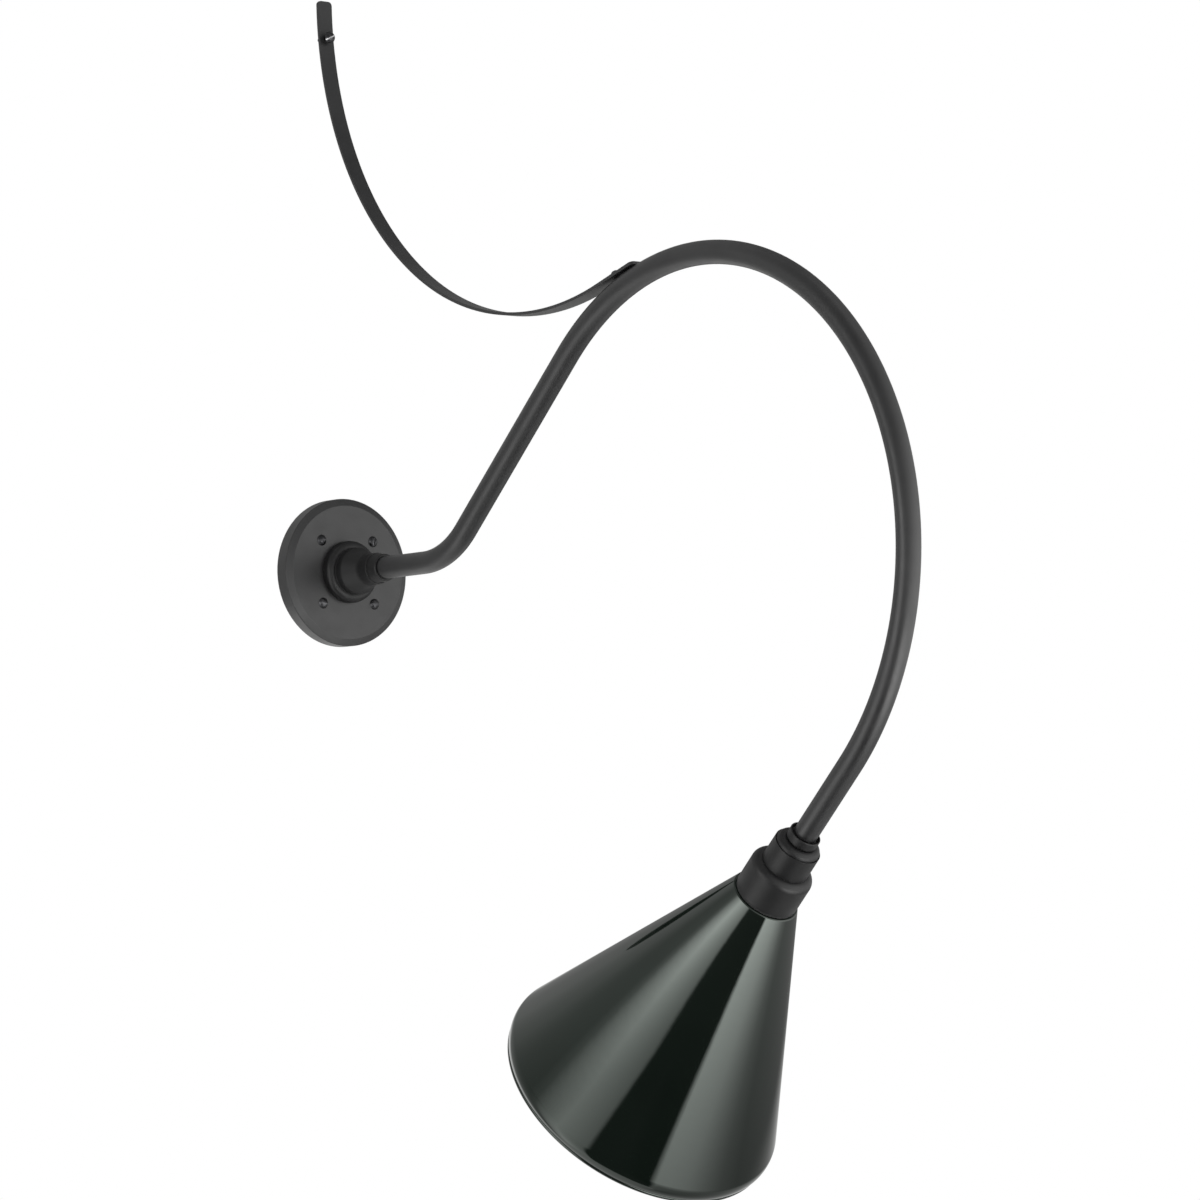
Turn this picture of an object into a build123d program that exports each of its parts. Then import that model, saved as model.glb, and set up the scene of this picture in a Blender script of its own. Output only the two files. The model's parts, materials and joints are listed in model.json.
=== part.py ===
from build123d import *
from math import acos, asin, atan2, cos, degrees, hypot, radians, sin
import os

# Barn light on a bent tube arm, for a wall.
#
# Frame: millimetres, +Z up. The wall is the plane Y = 0, with the wall itself at Y > 0, and the light
# stands out of it towards -Y. The origin is the centre of the wall canopy's back. The arm lies in
# the plane X = 0. "Out" below is the distance out of the wall, and "up" is the height.

# Shared sizes
sheet_corner = 0.6            # broken edge on cast and turned pieces
loose_fit = 0.1               # radial clearance of a piece that is slipped over another and then clamped
screw_fit = 0.3               # radial clearance of a screw in its hole
overrun = 2.0                 # how far a cutting tool runs past what it cuts

# Arm: one length of half-inch tube with two bends
tube_diameter = 21.3
tube_wall = 2.1
wall_run = 140.8              # straight from the wall plane to the first bend
first_bend_radius = 96.1
first_bend_angle = 42.7
rise_run = 213.0              # straight between the bends
return_bend_radius = 263.5
return_bend_angle = 178.9
drop_run = 78.9               # straight from the second bend to the fitter's lip
hub_socket_depth = 30.0       # tube inside the wall hub
fitter_socket_depth = 24.0    # tube inside the shade fitter

# Wall canopy: hollow cast plate on a thin gasket, with four round-head screws
canopy_diameter = 142.1
canopy_height = 18.5          # wall to front face
canopy_wall = 3.0             # plate
canopy_rim_width = 6.0        # side wall
canopy_bevel_inset = 6.8
canopy_bevel_depth = 3.0
gasket_thickness = 1.5
gasket_inset = 1.0            # gasket's edge behind the canopy's edge
gasket_width = 4.6
screw_spacing = 60.4          # both ways, centre to centre
canopy_screw_shank_diameter = 5.4
canopy_screw_thread_diameter = 4.8
canopy_screw_head_diameter = 10.6
canopy_screw_head_height = 3.4
canopy_screw_reach = 20.0     # thread, all of it behind the wall plane
screw_slot_width = 1.3
screw_slot_depth = 1.2
slot_turns = (8.0, 80.0, -12.0, 0.0)

# Wall hub: turned bell on the canopy that takes the tube
hub_foot_diameter = 59.5
hub_foot_height = 10.6
hub_foot_rounding = 6.0
hub_body_diameter = 45.2
hub_body_height = 7.6         # straight part above the foot
hub_body_rounding = 8.0
hub_neck_diameter = 30.4
hub_neck_start = 38.3         # from the foot's top to the foot of the neck
hub_cone_height = 17.0        # sloping part between the body and the cove
hub_cove_rounding = 13.0
hub_collar_diameter = 28.1
hub_collar_end_diameter = 26.4
hub_length = 61.2             # canopy face to the collar's end
collar_rounding = 1.4
spigot_diameter = 20.0
spigot_length = 12.0          # behind the canopy's front face
wire_passage_diameter = 13.0
hub_nut_across_flats = 30.0
hub_nut_thickness = 4.0
washer_thickness = 1.2
washer_overhang = 1.5         # washer radius past the corners of its nut
set_screw_diameter = 5.0
set_screw_recess = 1.0        # how far the set screw sits under the surface
set_screw_socket = 2.5        # across flats of its key socket
set_screw_socket_depth = 2.0
hub_set_screw_back = 7.0      # from the collar's end

# Earth screw on a boss inside the canopy
earth_boss_diameter = 11.0
earth_boss_height = 7.0
earth_boss_out = 44.0         # from the canopy's centre
earth_screw_diameter = 4.0
earth_head_across_flats = 8.0
earth_head_height = 3.0
earth_screw_length = 6.0

# Stay: flat bar from the wall above, bent down and round on to the arm
strap_width = 16.9
strap_thickness = 2.9
strap_top_run = 4.6           # straight part above the upper bend
strap_upper_radius = 343.3
strap_upper_angle = 55.3
strap_foot_angle = 26.3       # where it lies on the return bend, from that bend's start
strap_foot_back = 46.7        # straight foot before the contact point
strap_foot_ahead = 4.0        # straight foot after it
strap_corner_radius = 4.0
strap_seat = 0.02             # air between the bar and the tube that it lies on
wall_screw_drop = 36.6        # from the top end of the bar
wall_screw_shank_diameter = 5.6
wall_screw_thread_diameter = 4.8
wall_screw_head_diameter = 11.4
wall_screw_head_height = 4.2
wall_screw_stand_off = 7.0    # shank showing between the bar and the head
wall_screw_reach = 8.0        # thread, all of it behind the wall plane
wall_screw_turn = 28.0
arm_screw_back = 28.0         # from the contact point
arm_screw_diameter = 4.2
arm_screw_head_diameter = 8.6
arm_screw_head_height = 3.0
arm_screw_stand_off = 2.2     # shank showing between the bar and the head
arm_screw_reach = 9.0         # from the bar's underside
arm_screw_turn = 20.0

# Fitter: turned neck on the tube, and a cap that covers the shade's top
lip_diameter = 28.2
lip_height = 9.0
dome_diameter = 41.4
dome_height = 6.2
dome_rounding = 6.0
groove_width = 0.4
groove_depth = 1.0
neck_diameter = 42.4
neck_foot_diameter = 42.8
neck_length = 38.0            # lip to the cap
cap_diameter = 57.2
cap_shoulder_rounding = 7.6
cap_length = 34.0
cap_wall = 3.2
cap_plate = 4.5
fitter_set_screw_back = 19.6  # from the lip
nipple_diameter = 16.4
nipple_bore = 12.6
nipple_in_neck = 12.0
nut_across_flats = 24.0
nut_thickness = 5.0
shade_gasket_thickness = 1.8
shade_gasket_inset = 0.8

# Shade: one spun cone with a rounded edge that turns in to a rolled bead
shade_top_diameter = 60.6
shade_half_angle = 22.9
shade_slant = 259.7           # along the cone, sharp corner to sharp corner
shade_edge_radius = 14.9
shade_edge_turn = 58.0        # how far the edge turns in from the cone's slope
shade_edge_run = 9.5          # straight run past the turned edge's sharp corner
shade_top_rounding = 3.0
shade_thickness = 1.2
shade_bead_diameter = 4.2

# Lamp holder: bar, porcelain body, screw shell and contact
holder_bar_length = 52.0
holder_bar_width = 27.0
holder_bar_thickness = 2.0
holder_bar_corner = 4.0
porcelain_diameter = 51.0
porcelain_skirt_diameter = 35.6
porcelain_length = 46.0
porcelain_shoulder = 18.0     # from its top to the ledge where the skirt starts
porcelain_rounding = 1.5
porcelain_recess_diameter = 29.0
porcelain_recess_depth = 6.5
porcelain_floor = 9.0         # between the recess and the lamp's cavity
cavity_diameter = 29.0
bar_nut_thickness = 2.8
shell_diameter = 28.0
shell_wall = 0.5
shell_length = 27.0
shell_hole_diameter = 15.0
holder_screw_spacing = 42.0
holder_screw_diameter = 3.6
holder_screw_head_diameter = 5.8
holder_screw_head_height = 2.2
contact_width = 6.0
contact_thickness = 0.6
contact_rise = 3.2            # from the cavity's floor to the tongue's top
contact_foot = 5.6            # length of the flat part under the rivet
contact_tongue = 5.6          # length of the raised flat part
contact_reach = 6.2           # from the lamp's axis to the foot's end
rivet_diameter = 2.4
rivet_head_diameter = 3.8
rivet_head_height = 0.9
contact_rivet_out = 4.0       # from the lamp's axis
shell_rivet_out = 10.6

# Lamp: standard pear shape with an Edison base
lamp_gap = 0.25               # air between the lamp's contact and the holder's tongue
lamp_contact_diameter = 8.4
lamp_contact_height = 1.4
lamp_insulator_diameter = 19.0
lamp_insulator_tip_diameter = 10.5
lamp_insulator_height = 3.6
lamp_base_diameter = 26.4
lamp_base_length = 22.0
lamp_base_wall = 0.5
lamp_neck_diameter = 25.0
lamp_neck_length = 9.0
lamp_neck_blend = 16.0
lamp_bulb_diameter = 60.0
lamp_glass_length = 84.0      # from the base's rim to the tip
lamp_glass_wall = 0.8
lamp_glass_in_base = 3.0

# Lead wires inside the tube
wire_diameter = 2.4
wire_lift = -3.6              # from the tube's centre line, towards the underside
wire_side = 3.3
wire_start = 7.0              # out from the wall

# Planes that the pieces are made in: local +Z points out of the wall, or down into the shade
wall_plane = Plane(origin=(0, 0, 0), x_dir=(1, 0, 0), z_dir=(0, -1, 0))
arm_plane = Plane(origin=(0, 0, 0), x_dir=(0, -1, 0), z_dir=(-1, 0, 0))


# Outlines and simple turned or cut forms

def outline(*corners):
    """Closed face from corners (across, along, rounding). A rounding of 0 leaves the corner sharp."""
    points = [(across, along) for across, along, rounding in corners]
    roundings = [rounding for across, along, rounding in corners]
    return make_face(FilletPolyline(*points, radius=roundings, close=True).edges())


def turned(*corners):
    """Solid turned about local Z from an outline of (radius, height, rounding)."""
    return revolve(Plane.XZ * outline(*corners), Axis.Z)


def rod(diameter, start, end):
    """Round bar about local Z from one height to another."""
    return Pos(0, 0, (start + end) / 2) * Cylinder(diameter / 2, abs(end - start))


def hexagon(across_flats, start, height):
    """Six-sided bar about local Z."""
    return extrude(Pos(0, 0, start) * RegularPolygon(across_flats / 2, 6, major_radius=False), height)


def domed_screw(shank_diameter, shank_length, head_diameter, head_height, slot_turn):
    """Slotted round-head screw: seat of the head at local Z = 0, head towards +Z."""
    head_radius = head_diameter / 2
    ball_radius = (head_radius ** 2 + head_height ** 2) / (2 * head_height)
    ball = Pos(0, 0, head_height - ball_radius) * Sphere(ball_radius)
    head = ball & rod(2 * head_diameter, 0, head_height + overrun)
    slot = Pos(0, 0, head_height) * Box(2 * head_diameter, screw_slot_width, 2 * screw_slot_depth)
    shank = rod(shank_diameter, -shank_length, 0)
    return head - Rot(0, 0, slot_turn) * slot + shank


def hexagon_nut(across_flats, bore, start, height):
    """Hexagon nut with its outer corners turned off, from a start height."""
    corner_radius = across_flats / (2 * cos(radians(30)))
    bevel = corner_radius - across_flats / 2
    envelope = turned(
        (0, start, 0),
        (across_flats / 2, start, 0),
        (corner_radius, start + bevel / 2, 0),
        (corner_radius, start + height - bevel / 2, 0),
        (across_flats / 2, start + height, 0),
        (0, start + height, 0),
    )
    return (hexagon(across_flats, start, height) & envelope) - rod(bore, start - overrun, start + height + overrun)


def washer(diameter, bore, start, height):
    """Flat round washer from a start height."""
    return rod(diameter, start, start + height) - rod(bore, start - overrun, start + height + overrun)


def set_screw(length):
    """Headless screw along local Z, outer end at Z = 0 and point towards -Z, with a key socket."""
    body = turned(
        (0, -length, 0),
        (set_screw_diameter / 4, -length, 0),
        (set_screw_diameter / 2, -length + set_screw_diameter / 4, 0),
        (set_screw_diameter / 2, 0, 0),
        (0, 0, 0),
    )
    return body - hexagon(set_screw_socket, -set_screw_socket_depth, set_screw_socket_depth + overrun)


# Places along the arm's centre line, as (out, up), worked out from the run lengths and bends

first_turn = radians(first_bend_angle)
rise_start = (
    wall_run + first_bend_radius * sin(first_turn),
    first_bend_radius * (1 - cos(first_turn)),
)
rise_end = (
    rise_start[0] + rise_run * cos(first_turn),
    rise_start[1] + rise_run * sin(first_turn),
)
return_centre = (
    rise_end[0] + return_bend_radius * sin(first_turn),
    rise_end[1] - return_bend_radius * cos(first_turn),
)
drop_heading = first_turn - radians(return_bend_angle)
drop_start = (
    return_centre[0] - return_bend_radius * sin(drop_heading),
    return_centre[1] + return_bend_radius * cos(drop_heading),
)
lip_place = (
    drop_start[0] + drop_run * cos(drop_heading),
    drop_start[1] + drop_run * sin(drop_heading),
)
fitter_plane = Plane(
    origin=(0, -lip_place[0], lip_place[1]),
    x_dir=(1, 0, 0),
    z_dir=(0, -cos(drop_heading), sin(drop_heading)),
)
hub_end = canopy_height + hub_length
tube_start = hub_end - hub_socket_depth


def arm_route(start, end, lift=0.0):
    """Centre line in the arm's plane, from `start` out of the wall to `end` past the fitter's lip.

    A lift moves the whole line to the upper, outer side of the tube.
    """
    first_radius = first_bend_radius - lift
    return_radius = return_bend_radius + lift
    first_arc = CenterArc((wall_run, first_bend_radius), first_radius, -90, first_bend_angle)
    return_arc = CenterArc(return_centre, return_radius, first_bend_angle + 90, -return_bend_angle)
    drop_end = Vector(return_arc @ 1) + (drop_run + end) * Vector(cos(drop_heading), sin(drop_heading))
    pieces = [
        Line((start, lift), first_arc @ 0),
        first_arc,
        Line(first_arc @ 1, return_arc @ 0),
        return_arc,
        Line(return_arc @ 1, drop_end),
    ]
    return arm_plane * Curve(pieces)


def swept_round(route, diameter):
    """Round bar swept along a route."""
    start_plane = Plane(origin=route @ 0, z_dir=route % 0)
    return sweep(start_plane * Circle(diameter / 2), path=route)


# Wall side

canopy_radius = canopy_diameter / 2
canopy_inner_radius = canopy_radius - canopy_rim_width
plate_back = canopy_height - canopy_wall
screw_places = [
    (across * screw_spacing / 2, up * screw_spacing / 2)
    for across, up in ((-1, 1), (1, 1), (-1, -1), (1, -1))
]


def wall_canopy():
    """Hollow round cover with a bevelled front edge, a centre hole, four screw holes and a boss."""
    front_radius = canopy_radius - canopy_bevel_inset
    side_height = canopy_height - canopy_bevel_depth
    shell = turned(
        (0, plate_back, 0),
        (canopy_inner_radius, plate_back, canopy_wall),
        (canopy_inner_radius, gasket_thickness, 0),
        (canopy_radius, gasket_thickness, 0),
        (canopy_radius, side_height, sheet_corner),
        (front_radius, canopy_height, sheet_corner),
        (0, canopy_height, 0),
    )
    boss = Pos(earth_boss_out, 0, 0) * rod(earth_boss_diameter, plate_back - earth_boss_height, plate_back)
    earth_hole = rod(earth_screw_diameter, plate_back - earth_boss_height - overrun, plate_back)
    shell = shell + boss - Pos(earth_boss_out, 0, 0) * earth_hole
    shell -= rod(spigot_diameter + 2 * loose_fit, 0, canopy_height + overrun)
    screw_hole = rod(canopy_screw_shank_diameter + 2 * screw_fit, 0, canopy_height + overrun)
    for across, up in screw_places:
        shell -= Pos(across, up, 0) * screw_hole
    return wall_plane * shell


def canopy_gasket():
    """Flat rubber ring between the canopy's rim and the wall."""
    outer = canopy_diameter - 2 * gasket_inset
    return wall_plane * washer(outer, outer - 2 * gasket_width, 0, gasket_thickness)


def canopy_screws():
    """Four screws into the wall box: plain shank through the canopy, then thread behind the wall."""
    thread = rod(canopy_screw_thread_diameter, -canopy_height - canopy_screw_reach, -canopy_height)
    screws = []
    for (across, up), turn in zip(screw_places, slot_turns):
        screw = thread + domed_screw(
            canopy_screw_shank_diameter,
            canopy_height,
            canopy_screw_head_diameter,
            canopy_screw_head_height,
            turn,
        )
        screws.append(wall_plane * (Pos(across, up, canopy_height) * screw))
    return Compound(screws)


def hub_bore():
    """What is cut out of the hub: the tube's socket, the wire passage and the set screw's hole."""
    socket = rod(tube_diameter + 2 * loose_fit, tube_start, hub_end + overrun)
    passage = rod(wire_passage_diameter, 0, hub_end)
    return socket + passage


def wall_hub():
    """Bell with a rounded foot, a sloping shoulder and a collar, and a threaded spigot behind."""
    foot_top = canopy_height + hub_foot_height
    body_radius = hub_body_diameter / 2
    cone_start = foot_top + hub_body_height
    bell = turned(
        (0, canopy_height - spigot_length, 0),
        (spigot_diameter / 2, canopy_height - spigot_length, sheet_corner),
        (spigot_diameter / 2, canopy_height, 0),
        (hub_foot_diameter / 2, canopy_height, 0),
        (hub_foot_diameter / 2, foot_top, hub_foot_rounding),
        (body_radius, foot_top, 0),
        (body_radius, cone_start, hub_body_rounding),
        (hub_neck_diameter / 2, cone_start + hub_cone_height, hub_cove_rounding),
        (hub_neck_diameter / 2, foot_top + hub_neck_start, sheet_corner),
        (hub_collar_diameter / 2, foot_top + hub_neck_start, 0),
        (hub_collar_end_diameter / 2, hub_end, collar_rounding),
        (0, hub_end, 0),
    )
    return wall_plane * (bell - hub_bore() - hub_screw_place() * hub_screw_hole())


def hub_screw_place():
    """Place of the hub's set screw, on the underside of the collar."""
    height = hub_end - hub_set_screw_back
    return Pos(0, -hub_collar_diameter / 2, height) * Rot(90, 0, 0)


def hub_screw_hole():
    """Clear hole for the set screw, from the surface to the tube."""
    return rod(set_screw_diameter + 2 * loose_fit, -(hub_collar_diameter - tube_diameter) / 2 - overrun, overrun)


def hub_set_screw():
    """Set screw that locks the tube in the hub."""
    length = (hub_collar_diameter - tube_diameter) / 2 - set_screw_recess
    return wall_plane * (hub_screw_place() * Pos(0, 0, -set_screw_recess) * set_screw(length))


def hub_washer():
    """Washer between the canopy's plate and the hub's nut."""
    corner_diameter = hub_nut_across_flats / cos(radians(30))
    outer = corner_diameter + 2 * washer_overhang
    bore = spigot_diameter + 2 * loose_fit
    return wall_plane * washer(outer, bore, plate_back - washer_thickness, washer_thickness)


def hub_nut():
    """Nut on the spigot that clamps the hub to the canopy."""
    start = plate_back - washer_thickness - hub_nut_thickness
    bore = spigot_diameter + 2 * loose_fit
    return wall_plane * hexagon_nut(hub_nut_across_flats, bore, start, hub_nut_thickness)


def earth_screw():
    """Hexagon-head screw in the canopy's boss for the earth wire."""
    seat = plate_back - earth_boss_height
    head = hexagon(earth_head_across_flats, seat - earth_head_height, earth_head_height)
    shank = rod(earth_screw_diameter - 2 * loose_fit, seat, seat + earth_screw_length)
    slot = Pos(0, 0, seat - earth_head_height) * Box(
        2 * earth_head_across_flats, screw_slot_width, 2 * screw_slot_depth
    )
    return wall_plane * (Pos(earth_boss_out, 0, 0) * (head - slot + shank))


# Arm and stay

def gooseneck_arm():
    """Bent tube from the wall hub to the fitter, with the hole for the stay's screw."""
    route = arm_route(tube_start, fitter_socket_depth)
    tube = swept_round(route, tube_diameter) - swept_round(route, tube_diameter - 2 * tube_wall)
    depth = strap_thickness + tube_wall + overrun
    hole = rod(arm_screw_diameter + 2 * loose_fit, -depth - strap_thickness, overrun)
    return tube - arm_screw_place() * hole


foot_heading = first_turn - radians(strap_foot_angle)
foot_out_of_centre = return_bend_radius + tube_diameter / 2 + strap_seat + strap_thickness / 2
foot_contact = (
    return_centre[0] - foot_out_of_centre * sin(foot_heading),
    return_centre[1] + foot_out_of_centre * cos(foot_heading),
)
foot_start = (
    foot_contact[0] - strap_foot_back * cos(foot_heading),
    foot_contact[1] - strap_foot_back * sin(foot_heading),
)
# The lower bend's radius is what joins the upper bend to the foot in a smooth line
upper_turn = radians(strap_upper_angle)
whole_turn = radians(90) + foot_heading
strap_lower_radius = (
    foot_start[0] - strap_thickness / 2 - strap_upper_radius * (1 - cos(upper_turn))
) / (cos(upper_turn) - cos(whole_turn))
bend_top = (
    foot_start[1]
    + strap_upper_radius * sin(upper_turn)
    + strap_lower_radius * (sin(whole_turn) - sin(upper_turn))
)
strap_top = bend_top + strap_top_run


def stay_strap():
    """Flat bar: short straight top, two smooth bends and a straight foot, with two screw holes."""
    upper = CenterArc(
        (strap_thickness / 2 + strap_upper_radius, bend_top),
        strap_upper_radius,
        180,
        strap_upper_angle,
    )
    join = upper @ 1
    towards_centre = Vector(cos(upper_turn), sin(upper_turn))
    lower_centre = join + strap_lower_radius * towards_centre
    lower = CenterArc(
        lower_centre,
        strap_lower_radius,
        180 + strap_upper_angle,
        degrees(whole_turn) - strap_upper_angle,
    )
    foot_end = (
        foot_contact[0] + strap_foot_ahead * cos(foot_heading),
        foot_contact[1] + strap_foot_ahead * sin(foot_heading),
    )
    top = Line((strap_thickness / 2, strap_top), upper @ 0)
    route = arm_plane * Curve([top, upper, lower, Line(lower @ 1, foot_end)])
    section_plane = Plane(origin=route @ 0, x_dir=(1, 0, 0), z_dir=route % 0)
    bar = sweep(section_plane * Rectangle(strap_width, strap_thickness), path=route)
    corners = [edge for edge in bar.edges() if abs(edge.length - strap_thickness) < strap_thickness / 100]
    bar = fillet(corners, strap_corner_radius)
    reach = strap_thickness + overrun
    bar -= wall_screw_place() * rod(wall_screw_shank_diameter + 2 * screw_fit, -reach, reach)
    bar -= arm_screw_place() * rod(arm_screw_diameter + 2 * screw_fit, -reach, reach)
    return bar


def wall_screw_place():
    """Where the wall screw's axis leaves the front of the bar, with local Z out of the wall."""
    up = strap_top - wall_screw_drop
    sag = strap_upper_radius * (1 - cos(asin((bend_top - up) / strap_upper_radius)))
    return Plane(origin=(0, -strap_thickness - sag, up), x_dir=(1, 0, 0), z_dir=(0, -1, 0)).location


def strap_wall_screw():
    """Screw that holds the top of the bar to the wall: plain shank under the head, then thread."""
    out = strap_thickness + wall_screw_stand_off
    screw = rod(wall_screw_thread_diameter, -out - wall_screw_reach, -out) + domed_screw(
        wall_screw_shank_diameter,
        out,
        wall_screw_head_diameter,
        wall_screw_head_height,
        wall_screw_turn,
    )
    up = strap_top - wall_screw_drop
    return Plane(origin=(0, -out, up), x_dir=(1, 0, 0), z_dir=(0, -1, 0)) * screw


def arm_screw_place():
    """Where the arm screw's axis leaves the top of the bar's foot, with local Z away from the tube."""
    half = strap_thickness / 2
    out = foot_contact[0] - arm_screw_back * cos(foot_heading) - half * sin(foot_heading)
    up = foot_contact[1] - arm_screw_back * sin(foot_heading) + half * cos(foot_heading)
    away = (0, sin(foot_heading), cos(foot_heading))
    return Plane(origin=(0, -out, up), x_dir=(1, 0, 0), z_dir=away).location


def strap_arm_screw():
    """Screw through the bar's foot into the tube, with its head standing off the bar."""
    return arm_screw_place() * Pos(0, 0, arm_screw_stand_off) * domed_screw(
        arm_screw_diameter,
        arm_screw_stand_off + strap_thickness + arm_screw_reach,
        arm_screw_head_diameter,
        arm_screw_head_height,
        arm_screw_turn,
    )


# Fitter and shade, in the fitter's own plane: the lip is at 0 and the shade is towards +Z

cap_start = neck_length
cap_end = cap_start + cap_length
plate_end = cap_start + cap_plate
nipple_start = neck_length - nipple_in_neck
shade_start = cap_end + shade_gasket_thickness
shade_inner = shade_start + shade_thickness
thread_bore = nipple_diameter + 2 * loose_fit
shade_nut_start = shade_inner + washer_thickness
bar_start = shade_nut_start + nut_thickness
porcelain_start = bar_start + holder_bar_thickness
porcelain_ledge = porcelain_start + porcelain_shoulder
porcelain_end = porcelain_start + porcelain_length
recess_floor = porcelain_start + porcelain_recess_depth
cavity_start = recess_floor + porcelain_floor
nipple_end = porcelain_start + bar_nut_thickness
lamp_start = cavity_start + contact_rise + lamp_gap
insulator_start = lamp_start + lamp_contact_height
base_start = insulator_start + lamp_insulator_height
base_end = base_start + lamp_base_length


def fitter_neck():
    """Turned neck: rounded lip, domed shoulder inside a sharp rim, and a slightly flared body."""
    dome_start = lip_height
    rim = dome_start + dome_height
    body = turned(
        (0, 0, 0),
        (lip_diameter / 2, 0, collar_rounding),
        (lip_diameter / 2, dome_start, 0),
        (dome_diameter / 2, dome_start, dome_rounding),
        (dome_diameter / 2, rim + groove_depth, 0),
        (dome_diameter / 2 + groove_width, rim + groove_depth, 0),
        (dome_diameter / 2 + groove_width, rim, 0),
        (neck_diameter / 2, rim, 0),
        (neck_foot_diameter / 2, neck_length, 0),
        (0, neck_length, 0),
    )
    socket = rod(tube_diameter + 2 * loose_fit, -overrun, fitter_socket_depth)
    passage = rod(nipple_bore, 0, neck_length)
    thread = rod(thread_bore, nipple_start, neck_length + overrun)
    return fitter_plane * (body - socket - passage - thread - fitter_screw_place() * fitter_screw_hole())


def fitter_screw_place():
    """Place of the fitter's set screw, on the side of the neck that faces the wall."""
    return Pos(0, -neck_diameter / 2, fitter_set_screw_back) * Rot(90, 0, 0)


def fitter_screw_hole():
    """Clear hole for the set screw, from the surface to the tube."""
    return rod(set_screw_diameter + 2 * loose_fit, -(neck_diameter - tube_diameter) / 2 - overrun, overrun)


def fitter_set_screw():
    """Set screw that locks the tube in the fitter."""
    length = (neck_diameter - tube_diameter) / 2 - 2 * set_screw_recess
    return fitter_plane * (fitter_screw_place() * Pos(0, 0, -2 * set_screw_recess) * set_screw(length))


def fitter_cap():
    """Cup with a rounded shoulder that sits over the shade's top."""
    radius = cap_diameter / 2
    cup = turned(
        (0, cap_start, 0),
        (radius, cap_start, cap_shoulder_rounding),
        (radius, cap_end, sheet_corner / 2),
        (radius - cap_wall, cap_end, 0),
        (radius - cap_wall, plate_end, cap_shoulder_rounding - cap_wall),
        (0, plate_end, 0),
    )
    return fitter_plane * (cup - rod(thread_bore, cap_start - overrun, plate_end + overrun))


def nipple():
    """Threaded tube that ties neck, cap, shade and lamp holder together."""
    return fitter_plane * washer(nipple_diameter, nipple_bore, nipple_start, nipple_end - nipple_start)


def cap_nut():
    """Nut inside the cap that pulls it up to the neck."""
    return fitter_plane * hexagon_nut(nut_across_flats, thread_bore, plate_end, nut_thickness)


def shade_gasket():
    """Rubber ring between the cap's rim and the shade."""
    outer = cap_diameter - 2 * shade_gasket_inset
    bore = cap_diameter - 2 * cap_wall - 2 * shade_gasket_inset
    return fitter_plane * washer(outer, bore, cap_end, shade_gasket_thickness)


def shade():
    """Spun cone: flat top with a hole, rolled corner, straight side, edge turned in to a bead."""
    slope = radians(shade_half_angle)
    edge_slope = slope - radians(shade_edge_turn)
    top_radius = shade_top_diameter / 2
    edge_radius = top_radius + shade_slant * sin(slope)
    edge_height = shade_start + shade_slant * cos(slope)
    rim_radius = edge_radius + shade_edge_run * sin(edge_slope)
    rim_height = edge_height + shade_edge_run * cos(edge_slope)
    skin = FilletPolyline(
        (thread_bore / 2, shade_start),
        (top_radius, shade_start),
        (edge_radius, edge_height),
        (rim_radius, rim_height),
        radius=[shade_top_rounding, shade_edge_radius],
    )
    wall = make_face(offset(skin, amount=shade_thickness, side=Side.LEFT, closed=True).edges())
    bead_centre = (
        rim_radius - shade_thickness / 2 * cos(edge_slope),
        rim_height + shade_thickness / 2 * sin(edge_slope),
    )
    profile = wall + Pos(*bead_centre) * Circle(shade_bead_diameter / 2)
    return fitter_plane * revolve(Plane.XZ * profile, Axis.Z)


def shade_washer():
    """Large washer under the shade's top."""
    outer = nut_across_flats / cos(radians(30)) + 2 * washer_overhang
    return fitter_plane * washer(outer, thread_bore, shade_inner, washer_thickness)


def shade_nut():
    """Nut that clamps the shade and its gasket against the cap."""
    return fitter_plane * hexagon_nut(nut_across_flats, thread_bore, shade_nut_start, nut_thickness)


# Lamp holder

def holder_screw_cuts(diameter, start, end):
    """The two screw holes of the lamp holder as solids to cut away."""
    hole = rod(diameter, start, end)
    return [Pos(side * holder_screw_spacing / 2, 0, 0) * hole for side in (-1, 1)]


def holder_bar():
    """Flat cross bar on the nipple with two tapped holes for the porcelain's screws."""
    bar = Pos(0, 0, bar_start + holder_bar_thickness / 2) * Box(
        holder_bar_length, holder_bar_width, holder_bar_thickness
    )
    bar = fillet(bar.edges().filter_by(Axis.Z), holder_bar_corner)
    bar -= rod(thread_bore, bar_start - overrun, porcelain_start + overrun)
    bar -= holder_screw_cuts(
        holder_screw_diameter + 2 * loose_fit, bar_start - overrun, porcelain_start + overrun
    )
    return fitter_plane * bar


def bar_nut():
    """Thin nut in the porcelain's recess that locks the cross bar."""
    return fitter_plane * hexagon_nut(nut_across_flats, thread_bore, porcelain_start, bar_nut_thickness)


def porcelain_body():
    """Glazed body: wide top, narrower skirt, nut recess above and lamp cavity below."""
    top_radius = porcelain_diameter / 2
    skirt_radius = porcelain_skirt_diameter / 2
    body = turned(
        (0, porcelain_start, 0),
        (top_radius, porcelain_start, porcelain_rounding),
        (top_radius, porcelain_ledge, porcelain_rounding),
        (skirt_radius, porcelain_ledge, 0),
        (skirt_radius, porcelain_end, porcelain_rounding / 2),
        (0, porcelain_end, 0),
    )
    body -= rod(porcelain_recess_diameter, porcelain_start - overrun, recess_floor)
    body -= rod(cavity_diameter, cavity_start, porcelain_end + overrun)
    body -= holder_screw_cuts(
        holder_screw_diameter + 2 * screw_fit, porcelain_start - overrun, porcelain_ledge + overrun
    )
    rivet_hole = rod(rivet_diameter + 2 * loose_fit, recess_floor - overrun, cavity_start + overrun)
    body -= Pos(-contact_rivet_out, 0, 0) * rivet_hole
    body -= Pos(shell_rivet_out, 0, 0) * rivet_hole
    return fitter_plane * body


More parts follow.
